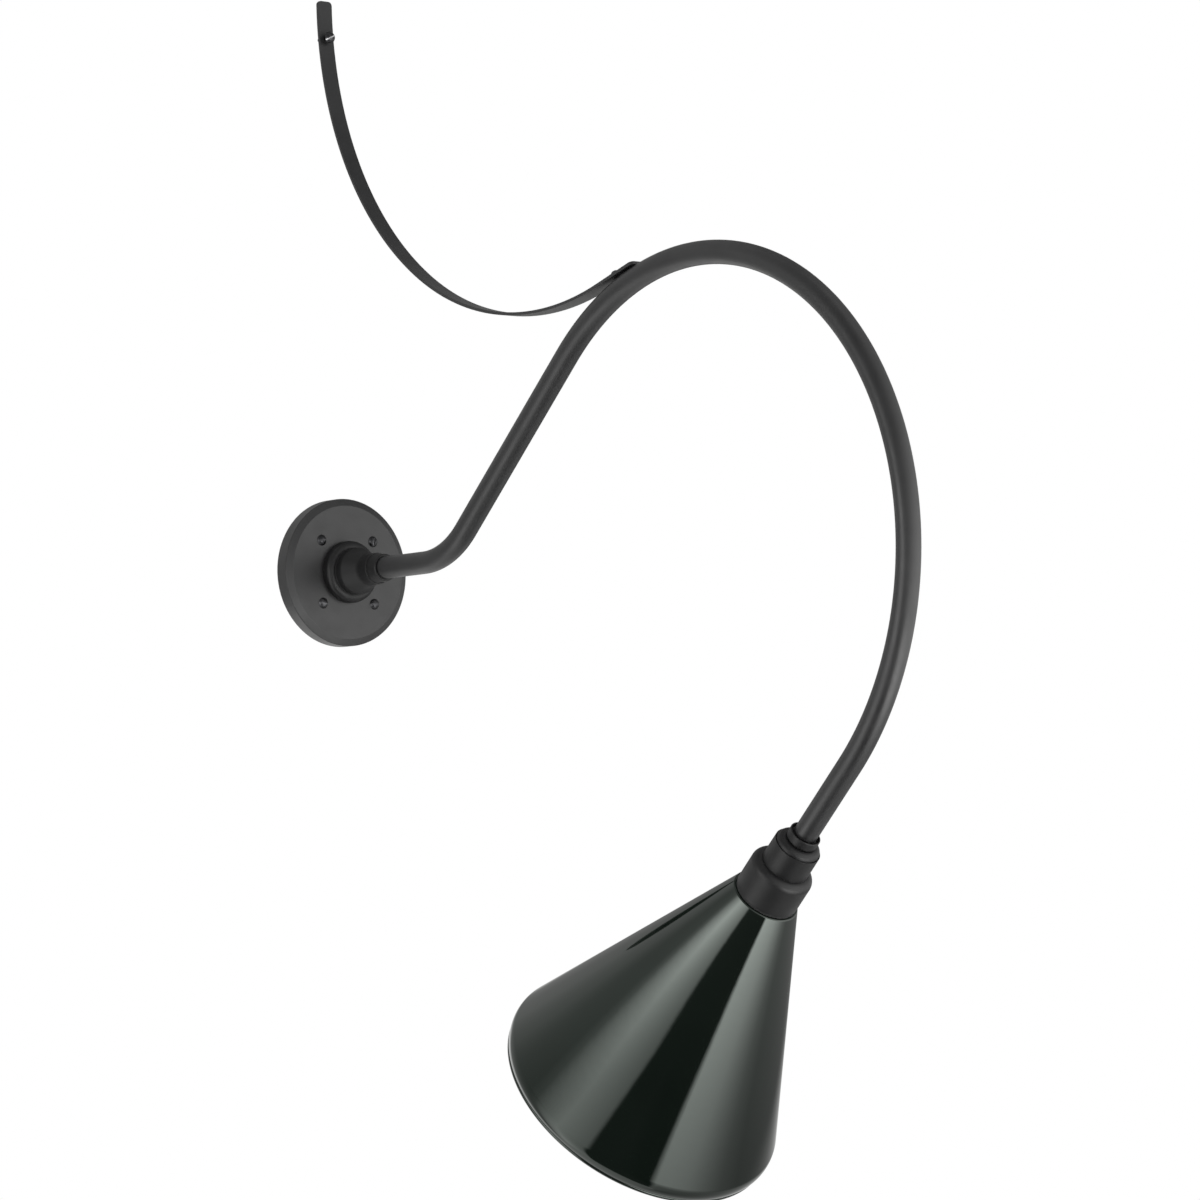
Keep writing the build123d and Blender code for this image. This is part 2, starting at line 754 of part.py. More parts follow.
def holder_screws():
    """Two round-head screws from the porcelain's ledge into the cross bar."""
    screw = Pos(0, 0, porcelain_ledge) * domed_screw(
        holder_screw_diameter,
        porcelain_shoulder + holder_bar_thickness,
        holder_screw_head_diameter,
        holder_screw_head_height,
        0,
    )
    screws = [Pos(side * holder_screw_spacing / 2, 0, 0) * screw for side in (-1, 1)]
    return Compound([fitter_plane * placed for placed in screws])


def screw_shell():
    """Brass cup that the lamp's base screws into."""
    outer = shell_diameter / 2
    inner = outer - shell_wall
    cup = turned(
        (shell_hole_diameter / 2, cavity_start, 0),
        (outer, cavity_start, 0),
        (outer, cavity_start + shell_length, 0),
        (inner, cavity_start + shell_length, 0),
        (inner, cavity_start + shell_wall, 0),
        (shell_hole_diameter / 2, cavity_start + shell_wall, 0),
    )
    hole = rod(rivet_diameter + 2 * loose_fit, cavity_start - overrun, cavity_start + overrun)
    return fitter_plane * (cup - Pos(shell_rivet_out, 0, 0) * hole)


def centre_contact():
    """Brass strip: flat foot under its rivet, a rise, and a tongue under the lamp's contact."""
    foot_end = contact_foot - contact_reach
    low = cavity_start
    high = cavity_start + contact_rise
    rise_end_across = foot_end + contact_rise / 2
    tongue_end = rise_end_across + contact_tongue
    side = outline(
        (-contact_reach, low, 0),
        (foot_end, low, 0),
        (rise_end_across, high - contact_thickness, 0),
        (tongue_end, high - contact_thickness, 0),
        (tongue_end, high, 0),
        (rise_end_across - contact_thickness / 2, high, 0),
        (foot_end - contact_thickness / 2, low + contact_thickness, 0),
        (-contact_reach, low + contact_thickness, 0),
    )
    strip = extrude(Plane.XZ * side, contact_width / 2, both=True)
    hole = rod(rivet_diameter + 2 * loose_fit, low - overrun, low + overrun)
    return fitter_plane * (strip - Pos(-contact_rivet_out, 0, 0) * hole)


def rivet(seat):
    """Rivet about local Z from the recess's floor to its head, which seats at the given height."""
    shank = rod(rivet_diameter, recess_floor, seat)
    head = rod(rivet_head_diameter, seat, seat + rivet_head_height)
    clinch = rod(rivet_head_diameter, recess_floor - rivet_head_height, recess_floor)
    return clinch + shank + head


def socket_rivets():
    """Two rivets that hold the contact and the screw shell to the porcelain."""
    contact_rivet = Pos(-contact_rivet_out, 0, 0) * rivet(cavity_start + contact_thickness)
    shell_rivet = Pos(shell_rivet_out, 0, 0) * rivet(cavity_start + shell_wall)
    return Compound([fitter_plane * contact_rivet, fitter_plane * shell_rivet])


# Lamp

def lamp_contact():
    """Solder button at the tip of the lamp's base."""
    return fitter_plane * rod(lamp_contact_diameter, lamp_start, insulator_start)


def lamp_insulator():
    """Dark glass cone between the button and the base's shell."""
    return fitter_plane * turned(
        (0, insulator_start, 0),
        (lamp_insulator_tip_diameter / 2, insulator_start, 0),
        (lamp_insulator_diameter / 2, base_start, 0),
        (0, base_start, 0),
    )


def lamp_base():
    """Metal cup of the lamp's base, closed towards the insulator."""
    outer = lamp_base_diameter / 2
    inner = outer - lamp_base_wall
    shoulder = outer - lamp_insulator_diameter / 2
    return fitter_plane * turned(
        (0, base_start, 0),
        (lamp_insulator_diameter / 2, base_start, 0),
        (outer, base_start + shoulder, 0),
        (outer, base_end, 0),
        (inner, base_end, 0),
        (inner, base_start + shoulder + lamp_base_wall, 0),
        (lamp_insulator_diameter / 2, base_start + lamp_base_wall, 0),
        (0, base_start + lamp_base_wall, 0),
    )


def bulb_form(shrink):
    """Pear-shaped solid: neck, straight flank that meets the ball in a smooth line, and ball."""
    start = base_end - lamp_glass_in_base
    neck_radius = lamp_neck_diameter / 2 - shrink
    ball_radius = lamp_bulb_diameter / 2 - shrink
    ball_height = base_end + lamp_glass_length - lamp_bulb_diameter / 2
    neck_top = base_end + lamp_neck_length
    reach = hypot(neck_radius, ball_height - neck_top)
    touch = atan2(neck_top - ball_height, neck_radius) + acos(ball_radius / reach)
    touch_point = (ball_radius * cos(touch), ball_height + ball_radius * sin(touch))
    tip = (0, ball_height + ball_radius)
    flank = FilletPolyline(
        (0, start),
        (neck_radius, start),
        (neck_radius, neck_top),
        touch_point,
        radius=[0, lamp_neck_blend],
    )
    ball = CenterArc((0, ball_height), ball_radius, degrees(touch), 90 - degrees(touch))
    profile = make_face(flank.edges() + ball.edges() + Line(tip, (0, start)).edges())
    return revolve(Plane.XZ * profile, Axis.Z)


def lamp_glass():
    """Thin glass bulb, open at the neck where it stands in the base."""
    start = base_end - lamp_glass_in_base
    mouth = rod(lamp_neck_diameter - 2 * lamp_glass_wall, start - overrun, start + overrun)
    return fitter_plane * (bulb_form(0) - bulb_form(lamp_glass_wall) - mouth)


# Lead wires

def lead_wire(side):
    """Insulated wire through the hub, tube, neck and nipple to the porcelain's recess."""
    route = arm_route(wire_start, nipple_end, wire_lift)
    return Pos(side * wire_side, 0, 0) * swept_round(route, wire_diameter)


def live_wire():
    """Wire to the centre contact."""
    return lead_wire(-1)


def neutral_wire():
    """Wire to the screw shell."""
    return lead_wire(1)


makers = [
    wall_canopy,
    canopy_gasket,
    canopy_screws,
    wall_hub,
    hub_set_screw,
    hub_washer,
    hub_nut,
    earth_screw,
    gooseneck_arm,
    stay_strap,
    strap_wall_screw,
    strap_arm_screw,
    fitter_neck,
    fitter_set_screw,
    fitter_cap,
    nipple,
    cap_nut,
    shade_gasket,
    shade,
    shade_washer,
    shade_nut,
    holder_bar,
    bar_nut,
    porcelain_body,
    holder_screws,
    screw_shell,
    centre_contact,
    socket_rivets,
    lamp_contact,
    lamp_insulator,
    lamp_base,
    lamp_glass,
    live_wire,
    neutral_wire,
]

os.makedirs("parts", exist_ok=True)
for make in makers:
    export_step(make(), f"parts/{make.__name__}.step")
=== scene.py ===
# %% [markdown]
# # A barn light on a bent tube arm
#
# The real object hangs on an outside wall. A round canopy covers the wires, a bell-shaped hub holds a
# half-inch tube, the tube goes up, over and back, and a spun cone of enamelled steel throws the light
# at the wall or at a sign below. A flat stay bar ties the tube to the wall above.
#
# The construction comes from CAD and is loaded here as a fixed frame, in metres, with +Z up and the
# wall behind the plane Y = 0. This script gives that frame its surfaces: smooth turned and swept skins,
# threads and slots, enamel, powder coat, light and a camera.

# %% Load the frame
import bpy
import bmesh
import json
import numpy as np
from math import acos, atan2, ceil, cos, degrees, hypot, pi, radians, sin, tan
from mathutils import Matrix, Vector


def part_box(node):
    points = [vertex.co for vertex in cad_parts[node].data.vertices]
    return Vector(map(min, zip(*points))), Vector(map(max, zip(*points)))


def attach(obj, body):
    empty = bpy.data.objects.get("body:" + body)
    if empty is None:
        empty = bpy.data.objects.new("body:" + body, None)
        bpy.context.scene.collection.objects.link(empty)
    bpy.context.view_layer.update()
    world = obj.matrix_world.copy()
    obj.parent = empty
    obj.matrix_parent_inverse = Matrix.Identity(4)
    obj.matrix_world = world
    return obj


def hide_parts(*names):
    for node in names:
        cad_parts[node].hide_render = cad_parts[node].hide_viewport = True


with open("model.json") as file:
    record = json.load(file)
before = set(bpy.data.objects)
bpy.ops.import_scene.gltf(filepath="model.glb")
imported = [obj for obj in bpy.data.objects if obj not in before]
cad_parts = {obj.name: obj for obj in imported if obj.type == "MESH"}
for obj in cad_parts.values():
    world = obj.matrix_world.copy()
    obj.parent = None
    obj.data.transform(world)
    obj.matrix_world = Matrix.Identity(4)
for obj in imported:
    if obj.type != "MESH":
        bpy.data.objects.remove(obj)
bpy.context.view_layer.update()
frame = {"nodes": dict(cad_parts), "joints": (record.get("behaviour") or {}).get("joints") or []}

# %% [markdown]
# ## Places to build in
#
# A lathe turns a piece about its own axis, so each turned piece is easiest to describe along a local
# axis and then to set in place. Three such places are enough here: the wall, whose axis points out of
# the wall; the fitter, whose axis is the tube's end; and the screws, each on its own axis. A place is
# an origin and three directions. The fitter's axis is read from the joint that lets the lamp out,
# because the lamp, its holder and the shade all share it.

# %% Places
MM = 0.001


def place(origin, axis, across=(1, 0, 0)):
    """Origin in mm and three unit directions: across, the third one square to both, and the axis."""
    axis = np.array(axis, float) / np.linalg.norm(axis)
    across = np.array(across, float)
    across = across - (across @ axis) * axis
    across = across / np.linalg.norm(across)
    return np.array(origin, float), across, np.cross(axis, across), axis


def put(points, where):
    """Point = origin + x times across + y times upright + z times axis, for a whole array, in metres."""
    origin, across, upright, axis = where
    x, y, z = points[..., 0:1], points[..., 1:2], points[..., 2:3]
    return (origin + x * across + y * upright + z * axis) * MM


wall = place((0, 0, 0), (0, -1, 0))
fitter_axis = frame["joints"][0]["axis"]
print("fitter axis:", [round(v, 4) for v in fitter_axis])

# %% [markdown]
# ## From numbers to a mesh
#
# Every new surface here is a grid: rows of points, with as many columns in each row. Two neighbouring
# rows and columns make one four-sided face, so the faces follow from the counts alone and numpy can
# write them all at once. A grid may close on itself either way, as a tube does round its section.
# Points that meet at a pole or a seam are merged, and then the normals are made to point outwards.

# %% Grids into meshes
def grid_faces(rows, columns, close_rows, close_columns, first):
    """Face (r, c) joins points (r, c), (r+1, c), (r+1, c+1) and (r, c+1), counted row by row."""
    r = np.arange(rows if close_rows else rows - 1)[:, None]
    c = np.arange(columns if close_columns else columns - 1)[None, :]
    below, beside = (r + 1) % rows, (c + 1) % columns
    corners = [r * columns + c, below * columns + c, below * columns + beside, r * columns + beside]
    return first + np.stack([corner.ravel() for corner in corners], axis=1)


def make_piece(name, grids, finishes, stands_for, body="root", sharp=32):
    """One object from several grids. A grid is (points in metres, closes by row, closes by column)."""
    points, faces, finish_of_face, count = [], [], [], 0
    for number, (grid, close_rows, close_columns) in enumerate(grids):
        rows, columns = grid.shape[:2]
        made = grid_faces(rows, columns, close_rows, close_columns, count)
        points.append(grid.reshape(-1, 3))
        faces.append(made)
        finish_of_face.append(np.full(len(made), min(number, len(finishes) - 1)))
        count += rows * columns
    mesh = bpy.data.meshes.new(name)
    mesh.from_pydata(np.concatenate(points), [], np.concatenate(faces).tolist())
    mesh.polygons.foreach_set("material_index", np.concatenate(finish_of_face).astype(np.int32))
    for finish in finishes:
        mesh.materials.append(finish)
    work = bmesh.new()
    work.from_mesh(mesh)
    bmesh.ops.remove_doubles(work, verts=work.verts, dist=0.0000005)
    bmesh.ops.dissolve_degenerate(work, edges=work.edges, dist=0.0000005)
    bmesh.ops.delete(work, geom=[edge for edge in work.edges if not edge.link_faces], context="EDGES")
    bmesh.ops.recalc_face_normals(work, faces=work.faces)
    work.to_mesh(mesh)
    work.free()
    mesh.shade_smooth()
    mesh.set_sharp_from_angle(angle=radians(sharp))
    made = bpy.data.objects.new(name, mesh)
    bpy.context.scene.collection.objects.link(made)
    even = made.modifiers.new("Even normals", "WEIGHTED_NORMAL")
    even.keep_sharp = True
    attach(made, body)
    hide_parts(*stands_for)
    print(name, "has", len(mesh.polygons), "faces")
    return made


# %% [markdown]
# ## Outlines with rounded corners
#
# No real edge is perfectly sharp, and a sharp edge catches no light. A turned piece is drawn as a few
# corners, each with its own rounding, and the arcs are put in by formula. That keeps the drawing as
# short as a workshop sketch and lets each radius be read straight off it.

# %% Rounded outlines
def arc_points(centre, radius, start, turn, step=7.0):
    """Points at centre + radius (cos a, sin a), as a goes from start through turn, both in radians."""
    count = max(2, ceil(abs(degrees(turn)) / step)) + 1
    a = start + turn * np.linspace(0, 1, count)
    return np.stack([centre[0] + radius * np.cos(a), centre[1] + radius * np.sin(a)], axis=1)


def rounded(corners, closed=False, step=7.0):
    """Outline through corners (radius, height, rounding).

    An arc of radius r touches both sides of a corner at r over the tangent of half the angle between
    them, and its centre lies on the halving line at r over the sine of that half angle.
    """
    spots = np.array([corner[:2] for corner in corners], float)
    outline = []
    for i, (x, y, rounding) in enumerate(corners):
        at_end = not closed and i in (0, len(corners) - 1)
        if rounding == 0 or at_end:
            outline.append([[x, y]])
            continue
        back = spots[i - 1] - spots[i]
        ahead = spots[(i + 1) % len(spots)] - spots[i]
        back, ahead = back / np.linalg.norm(back), ahead / np.linalg.norm(ahead)
        half = acos(np.clip(back @ ahead, -1, 1)) / 2
        halving = (back + ahead) / np.linalg.norm(back + ahead)
        centre = spots[i] + halving * rounding / sin(half)
        first = spots[i] + back * rounding / tan(half) - centre
        last = spots[i] + ahead * rounding / tan(half) - centre
        turn = atan2(first[0] * last[1] - first[1] * last[0], first @ last)
        outline.append(arc_points(centre, rounding, atan2(first[1], first[0]), turn, step))
    return np.concatenate([np.array(part, float) for part in outline])


def turned(outline, where, sides=96, closed=False):
    """Outline point (r, h) goes to (r cos a, r sin a, h) for each angle a round the axis."""
    a = np.linspace(0, 2 * pi, sides, endpoint=False)
    r, h = outline[:, 0:1], outline[:, 1:2]
    points = np.stack([r * np.cos(a), r * np.sin(a), h + 0 * a], axis=-1)
    return put(points, where), closed, True


print("a 90 degree corner of radius 3 becomes", len(rounded([(0, 0, 0), (9, 0, 3), (9, 9, 0)])), "points")

# %% [markdown]
# ## Finish: black powder coat
#
# The arm, the canopy, the castings and the stay bar are baked powder coat, a satin black that is never
# quite flat. Melted powder leaves a skin like orange peel, about a millimetre from hill to hill, and
# it takes a softer shine in some places than in others. The colour, the shine and the relief each come
# from noise in Object coordinates, in metres, so the grain has its real size on every piece. The hub and
# the fitter get a copy of the coat that is darker and shines less.

# %% A maker of finishes
def new_finish(name):
    """Empty material with its main shader, and a short way to add and join nodes."""
    finish = bpy.data.materials.new(name)
    finish.use_nodes = True
    nodes, links = finish.node_tree.nodes, finish.node_tree.links
    shader = nodes["Principled BSDF"]
    spot = nodes.new("ShaderNodeTexCoord").outputs["Object"]

    def noise(scale, detail=3.0, roughness=0.5, stretch=(1, 1, 1)):
        """Cloudy pattern with `scale` hills to the metre."""
        turn = nodes.new("ShaderNodeMapping")
        turn.inputs["Scale"].default_value = stretch
        links.new(spot, turn.inputs["Vector"])
        cloud = nodes.new("ShaderNodeTexNoise")
        cloud.inputs["Scale"].default_value = scale
        cloud.inputs["Detail"].default_value = detail
        cloud.inputs["Roughness"].default_value = roughness
        links.new(turn.outputs["Vector"], cloud.inputs["Vector"])
        return cloud.outputs["Fac"]

    def spread(source, low, high, start=0.3, end=0.7):
        """Number that goes from low to high as the pattern goes from start to end."""
        ranges = nodes.new("ShaderNodeMapRange")
        for socket, value in zip(("From Min", "From Max", "To Min", "To Max"), (start, end, low, high)):
            ranges.inputs[socket].default_value = value
        links.new(source, ranges.inputs["Value"])
        return ranges.outputs["Result"]

    def tint(source, dark, light, start=0.3, end=0.7):
        """Colour that goes from dark to light as the pattern goes from start to end."""
        ramp = nodes.new("ShaderNodeValToRGB")
        ramp.color_ramp.elements[0].position = start
        ramp.color_ramp.elements[1].position = end
        ramp.color_ramp.elements[0].color = (*dark, 1)
        ramp.color_ramp.elements[1].color = (*light, 1)
        links.new(source, ramp.inputs["Fac"])
        return ramp.outputs["Color"]

    def relief(source, strength, height):
        """Small hills on the surface, `height` metres from low to high."""
        bump = nodes.new("ShaderNodeBump")
        bump.inputs["Strength"].default_value = strength
        bump.inputs["Distance"].default_value = height
        links.new(source, bump.inputs["Height"])
        links.new(bump.outputs["Normal"], shader.inputs["Normal"])

    def join(source, socket):
        links.new(source, shader.inputs[socket])

    return finish, shader, noise, spread, tint, relief, join


# %% Black powder coat
def powder_coat(name, dark, light, low, high, mirror):
    finish, shader, noise, spread, tint, relief, join = new_finish(name)
    join(tint(noise(35, 2), dark, light), "Base Color")
    join(spread(noise(60, 3), low, high), "Roughness")
    shader.inputs["Specular IOR Level"].default_value = mirror
    relief(noise(900, 2, 0.4), 0.02, 0.0002)
    return finish


black_coat = powder_coat("Black powder coat", (0.013, 0.013, 0.0135), (0.018, 0.018, 0.0187), 0.38, 0.46, 0.5)
casting_coat = powder_coat("Black coat on castings", (0.006, 0.006, 0.0063), (0.009, 0.009, 0.0094), 0.42, 0.50, 0.3)
print("made", black_coat.name, "and", casting_coat.name)

# %% [markdown]
# ## Finish: green enamel, and the white inside
#
# The shade's outside is enamel fired to glass, so dark a green that it reads as black until something
# bright is mirrored in it. Such a surface is all reflection: the base colour is nearly nothing, the
# shine is close to a mirror, and the shape of the lights does the rest. The inside is a guess, since
# the photograph doesn't show it: makers coat it white to throw the light out.

# %% Enamels
def enamel(name, dark, light, roughness, wave, mirror_tint=(1, 1, 1)):
    finish, shader, noise, spread, tint, relief, join = new_finish(name)
    join(tint(noise(14, 2), dark, light), "Base Color")
    join(spread(noise(45, 2), roughness, roughness * 1.5), "Roughness")
    shader.inputs["IOR"].default_value = 1.5
    shader.inputs["Specular Tint"].default_value = (*mirror_tint, 1)
    relief(noise(130, 1, 0.3), 0.05, wave)
    return finish


green_enamel = enamel(
    "Green enamel", (0.0030, 0.0064, 0.0042), (0.0042, 0.0082, 0.0056), 0.045, 0.0003, (0.91, 1.0, 0.94)
)
white_enamel = enamel("White enamel", (0.80, 0.80, 0.78), (0.86, 0.86, 0.84), 0.12, 0.0006)
print("made", green_enamel.name, "and", white_enamel.name)

# %% [markdown]
# ## Finishes: bare and plated metals
#
# Screws are blackened steel; the slot of the stay's wall screw is a brighter steel, a painted highlight
# where light catches it. The nuts, washers and the threaded nipple inside are zinc plated, which shows
# faint crystals. Brass and the lamp's base are rolled sheet. They share one recipe: a metal whose shine is uneven on
# two scales.

# %% Metals
def metal(name, dark, light, low, high, grain=400, height=0.0002):
    finish, shader, noise, spread, tint, relief, join = new_finish(name)
    join(tint(noise(80, 4, 0.6), dark, light), "Base Color")
    join(spread(noise(grain, 3), low, high), "Roughness")
    shader.inputs["Metallic"].default_value = 1.0
    relief(noise(grain * 2, 2), 0.1, height)
    return finish


black_steel = metal("Blackened steel", (0.035, 0.035, 0.037), (0.080, 0.080, 0.084), 0.32, 0.44, 700)
# Bright steel for the wall screw's slot only: a painted highlight where light catches the slot.
slot_highlight_steel = metal("Steel with painted slot highlight", (0.40, 0.40, 0.41), (0.62, 0.62, 0.63), 0.28, 0.42, 700)
zinc = metal("Zinc plate", (0.50, 0.51, 0.53), (0.66, 0.67, 0.69), 0.25, 0.42, 300)
brass = metal("Brass", (0.62, 0.42, 0.16), (0.76, 0.56, 0.25), 0.22, 0.36, 260)
lamp_metal = metal("Lamp base metal", (0.74, 0.74, 0.72), (0.86, 0.86, 0.84), 0.2, 0.32, 240)
print("made five metals")

# %% [markdown]
# ## Finishes: rubber, porcelain, wire, paint and glass
#
# Gaskets are matt black rubber with a fine bloom. The lamp holder is glazed porcelain, which is smooth
# and a little uneven under the glaze. Wire sleeves are matt plastic. The bulb is frosted from inside,
# so it reads as a soft white body under a glossy skin, and some light goes a little way into it.

# %% Plastics, porcelain and glass
def solid_finish(name, dark, light, low, high, grain, height, strength=0.1):
    finish, shader, noise, spread, tint, relief, join = new_finish(name)
    join(tint(noise(grain / 6, 3), dark, light), "Base Color")
    join(spread(noise(grain / 3, 2), low, high), "Roughness")
    relief(noise(grain, 2), strength, height)
    return finish, shader


rubber, _ = solid_finish("Black rubber", (0.014, 0.014, 0.014), (0.026, 0.026, 0.026), 0.7, 0.85, 1500, 0.0003)
porcelain, _ = solid_finish("Glazed porcelain", (0.80, 0.79, 0.74), (0.86, 0.85, 0.80), 0.08, 0.16, 220, 0.0004)
black_sleeve, _ = solid_finish("Black wire sleeve", (0.016, 0.016, 0.016), (0.03, 0.03, 0.03), 0.5, 0.6, 900, 0.0002)
white_sleeve, _ = solid_finish("White wire sleeve", (0.78, 0.78, 0.75), (0.86, 0.86, 0.83), 0.45, 0.55, 900, 0.0002)
green_paint, _ = solid_finish("Green screw paint", (0.035, 0.25, 0.08), (0.06, 0.33, 0.12), 0.3, 0.42, 600, 0.0002)
dark_glass, _ = solid_finish("Dark base glass", (0.02, 0.02, 0.024), (0.04, 0.04, 0.045), 0.08, 0.15, 300, 0.0002)
bulb_glass, bulb_shader = solid_finish("Frosted bulb", (0.86, 0.85, 0.82), (0.90, 0.89, 0.86), 0.2, 0.3, 120, 0.0003)
bulb_shader.inputs["Subsurface Weight"].default_value = 0.3
bulb_shader.inputs["Subsurface Radius"].default_value = (0.004, 0.004, 0.003)
bulb_shader.inputs["Coat Weight"].default_value = 0.4
bulb_shader.inputs["Coat Roughness"].default_value = 0.08
print("made seven more finishes")

# %% [markdown]
# ## The arm: a section carried along a route
#
# The arm is one length of tube, bent twice on a bender: straight runs joined by true arcs. So its
# centre line is a short list of runs and bends, and the formula for each piece gives the place and the
# heading at any distance along it. The tube itself is a circle carried along that line. Its inner wall
# is carried back the other way, so that the skin closes at both cut ends.

# %% Routes of runs and bends
def follow(start, heading, parts, step=1.5):
    """Places (out, up) and headings along runs ("run", length) and bends ("bend", radius, angle).

    A run goes length times (cos heading, sin heading). A bend of radius R turns the heading h to
    h + a, and moves out by R (sin(h + a) - sin h) and up by R (cos h - cos(h + a)). To the right, both
    R and a are negative.
    """
    spots, headings = [np.array([start], float)], [np.array([heading], float)]
    for part in parts:
        x, y, h = *spots[-1][-1], headings[-1][-1]
        if part[0] == "run":
            spots.append(np.array([[x + part[1] * cos(h), y + part[1] * sin(h)]]))
            headings.append(np.array([h]))
            continue
        radius, turn = np.copysign(part[1], part[2]), radians(part[2])
        a = h + turn * np.linspace(0, 1, ceil(abs(part[2]) / step) + 1)[1:]
        places = [x + radius * (np.sin(a) - sin(h)), y + radius * (cos(h) - np.cos(a))]
        spots.append(np.stack(places, axis=1))
        headings.append(a)
    return np.concatenate(spots), np.concatenate(headings)


def carried(spots, headings, across, through):
    """Section point (across, through) goes to spot + across X + through N.

    N is the heading turned a quarter turn up. Both section arrays have one row for each spot.
    """
    out = spots[:, 0:1] - through * np.sin(headings)[:, None]
    up = spots[:, 1:2] + through * np.cos(headings)[:, None]
    return np.stack([across, -out, up], axis=-1) * MM


tube_radius = 21.3 / 2
tube_wall = 2.1
tube_start = 49.7
fitter_socket = 24.0
arm_parts = [
    ("run", 140.8 - tube_start),
    ("bend", 96.1, 42.7),
    ("run", 213.0),
    ("bend", 263.5, -178.9),
    ("run", 78.9),
    ("run", fitter_socket),
]
arm_spots, arm_headings = follow((tube_start, 0), 0, arm_parts)
lip = arm_spots[-2]
fitter = place((0, -lip[0], lip[1]), fitter_axis)
print("the arm ends heading", round(degrees(arm_headings[-1]), 2), "degrees, lip at", lip.round(2))


# %% The tube
def ring(radius, sides, rows):
    """Circle of points, the same in every row."""
    a = np.linspace(0, 2 * pi, sides, endpoint=False)
    return np.tile(radius * np.cos(a), (rows, 1)), np.tile(radius * np.sin(a), (rows, 1))


def tube_grid(spots, headings, outer, inner, sides=64):
    """Outer wall along the route and inner wall back again, closed into one loop."""
    outside = carried(spots, headings, *ring(outer, sides, len(spots)))
    inside = carried(spots, headings, *ring(inner, sides, len(spots)))[::-1]
    return np.concatenate([outside, inside]), True, True


arm = make_piece(
    "gooseneck_tube",
    [tube_grid(arm_spots, arm_headings, tube_radius, tube_radius - tube_wall)],
    [black_coat],
    ["gooseneck_arm"],
)

# %% [markdown]
# ## The stay bar
#
# A strip of flat steel rises from the arm and curves up to the wall, where it lies flat. It is the same
# kind of piece as the tube, with another section: a rectangle whose edges have gone soft under the
# coat. The bar's ends are rounded in plan, so the section narrows there by the formula of a circle,
# and a last row on the centre line closes the end.

# %% Stay bar
bar_width, bar_thickness = 16.9, 2.9
bar_end_rounding = 4.0
bar_edge = 0.5
bar_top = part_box("stay_strap")[1].z / MM
bar_parts = [("run", 4.6), ("bend", 343.3, 55.3), ("bend", 316.18, 51.1), ("run", 50.7)]


def cut_ends(spots, headings, rounding, count=9):
    """Route with extra rows near both ends, and how far each row lies from the nearer end."""
    from_end = rounding * (1 - np.cos(np.linspace(0, pi / 2, count)))
    ends = []
    for spot, heading, sign in ((spots[0], headings[0], 1), (spots[-1], headings[-1], -1)):
        way = sign * np.array([cos(heading), sin(heading)])
        ends.append(spot + from_end[:, None] * way)
    places = np.concatenate([ends[0], spots[2:-1], ends[1][::-1]])
    turns = np.concatenate([np.full(count, headings[0]), headings[2:-1], np.full(count, headings[-1])])
    middle = np.full(len(spots) - 3, rounding)
    return places, turns, np.concatenate([from_end, middle, from_end[::-1]])


def bar_section(half_width, half_thickness, edge, corner_points=4):
    """Rectangle with rounded edges: x is w - e + e cos a and y is t - e + e sin a in the first corner."""
    a = np.linspace(0, pi / 2, corner_points)
    x = half_width[:, None] - edge + edge * np.cos(a)
    y = half_thickness - edge + edge * np.sin(a) + 0 * x
    across = np.concatenate([x, -x[:, ::-1], -x, x[:, ::-1]], axis=1)
    through = np.concatenate([y, y[:, ::-1], -y, -y[:, ::-1]], axis=1)
    return across, through


bar_spots, bar_headings = follow((bar_thickness / 2, bar_top), -pi / 2, bar_parts)
bar_spots, bar_headings, from_end = cut_ends(bar_spots, bar_headings, bar_end_rounding)
short = bar_end_rounding - np.sqrt(bar_end_rounding**2 - (bar_end_rounding - from_end) ** 2)
bar_grid = carried(bar_spots, bar_headings, *bar_section(bar_width / 2 - short, bar_thickness / 2, bar_edge))
end_rows = [np.tile(bar_grid[i].mean(axis=0), (1, bar_grid.shape[1], 1)) for i in (0, -1)]
bar_grid = np.concatenate([end_rows[0], bar_grid, end_rows[1]])
stay = make_piece("stay_bar", [(bar_grid, False, True)], [black_coat], ["stay_strap"])
print("bar foot ends at", bar_spots[-1].round(2), "heading", round(degrees(bar_headings[-1]), 2))

# %% [markdown]
# ## The canopy and its gasket
#
# The canopy is a shallow cup, cast and then faced on a lathe, with a bevel that catches the light all
# round. It is hollow behind, so its outline goes up the inside and down the outside and closes on
# itself. The gasket is a flat ring that is set in a little from the edge, and shows as a dark line.

# %% Canopy
canopy_radius = 142.1 / 2
canopy_height = 18.5
plate_back = 15.5
gasket = 1.5
canopy_outline = rounded(
    [
        (10.1, plate_back, 0),
        (canopy_radius - 6.0, plate_back, 3.0),
        (canopy_radius - 6.0, gasket, 0.3),
        (canopy_radius, gasket, 0.5),
        (canopy_radius, canopy_height - 3.0, 0.9),
        (canopy_radius - 6.8, canopy_height, 0.9),
        (10.1, canopy_height, 0.3),
    ],
    closed=True,
)
boss_place = place((44, 0, 0), (0, -1, 0))
boss = rounded([(2.0, plate_back - 7, 0), (5.5, plate_back - 7, 0.4), (5.5, plate_back + 0.5, 0), (2.0, plate_back + 0.5, 0)])
canopy = make_piece(
    "canopy",
    [turned(canopy_outline, wall, 160, True), turned(boss, boss_place, 32, True)],
    [black_coat],
    ["wall_canopy"],
)
gasket_outline = rounded(
    [
        (canopy_radius - 1.0, 0, 0.2),
        (canopy_radius - 1.0, gasket, 0.2),
        (canopy_radius - 5.6, gasket, 0.2),
        (canopy_radius - 5.6, 0, 0.2),
    ],
    closed=True,
)
seal = make_piece(
    "canopy_seal", [turned(gasket_outline, wall, 160, True)], [rubber], ["canopy_gasket"]
)

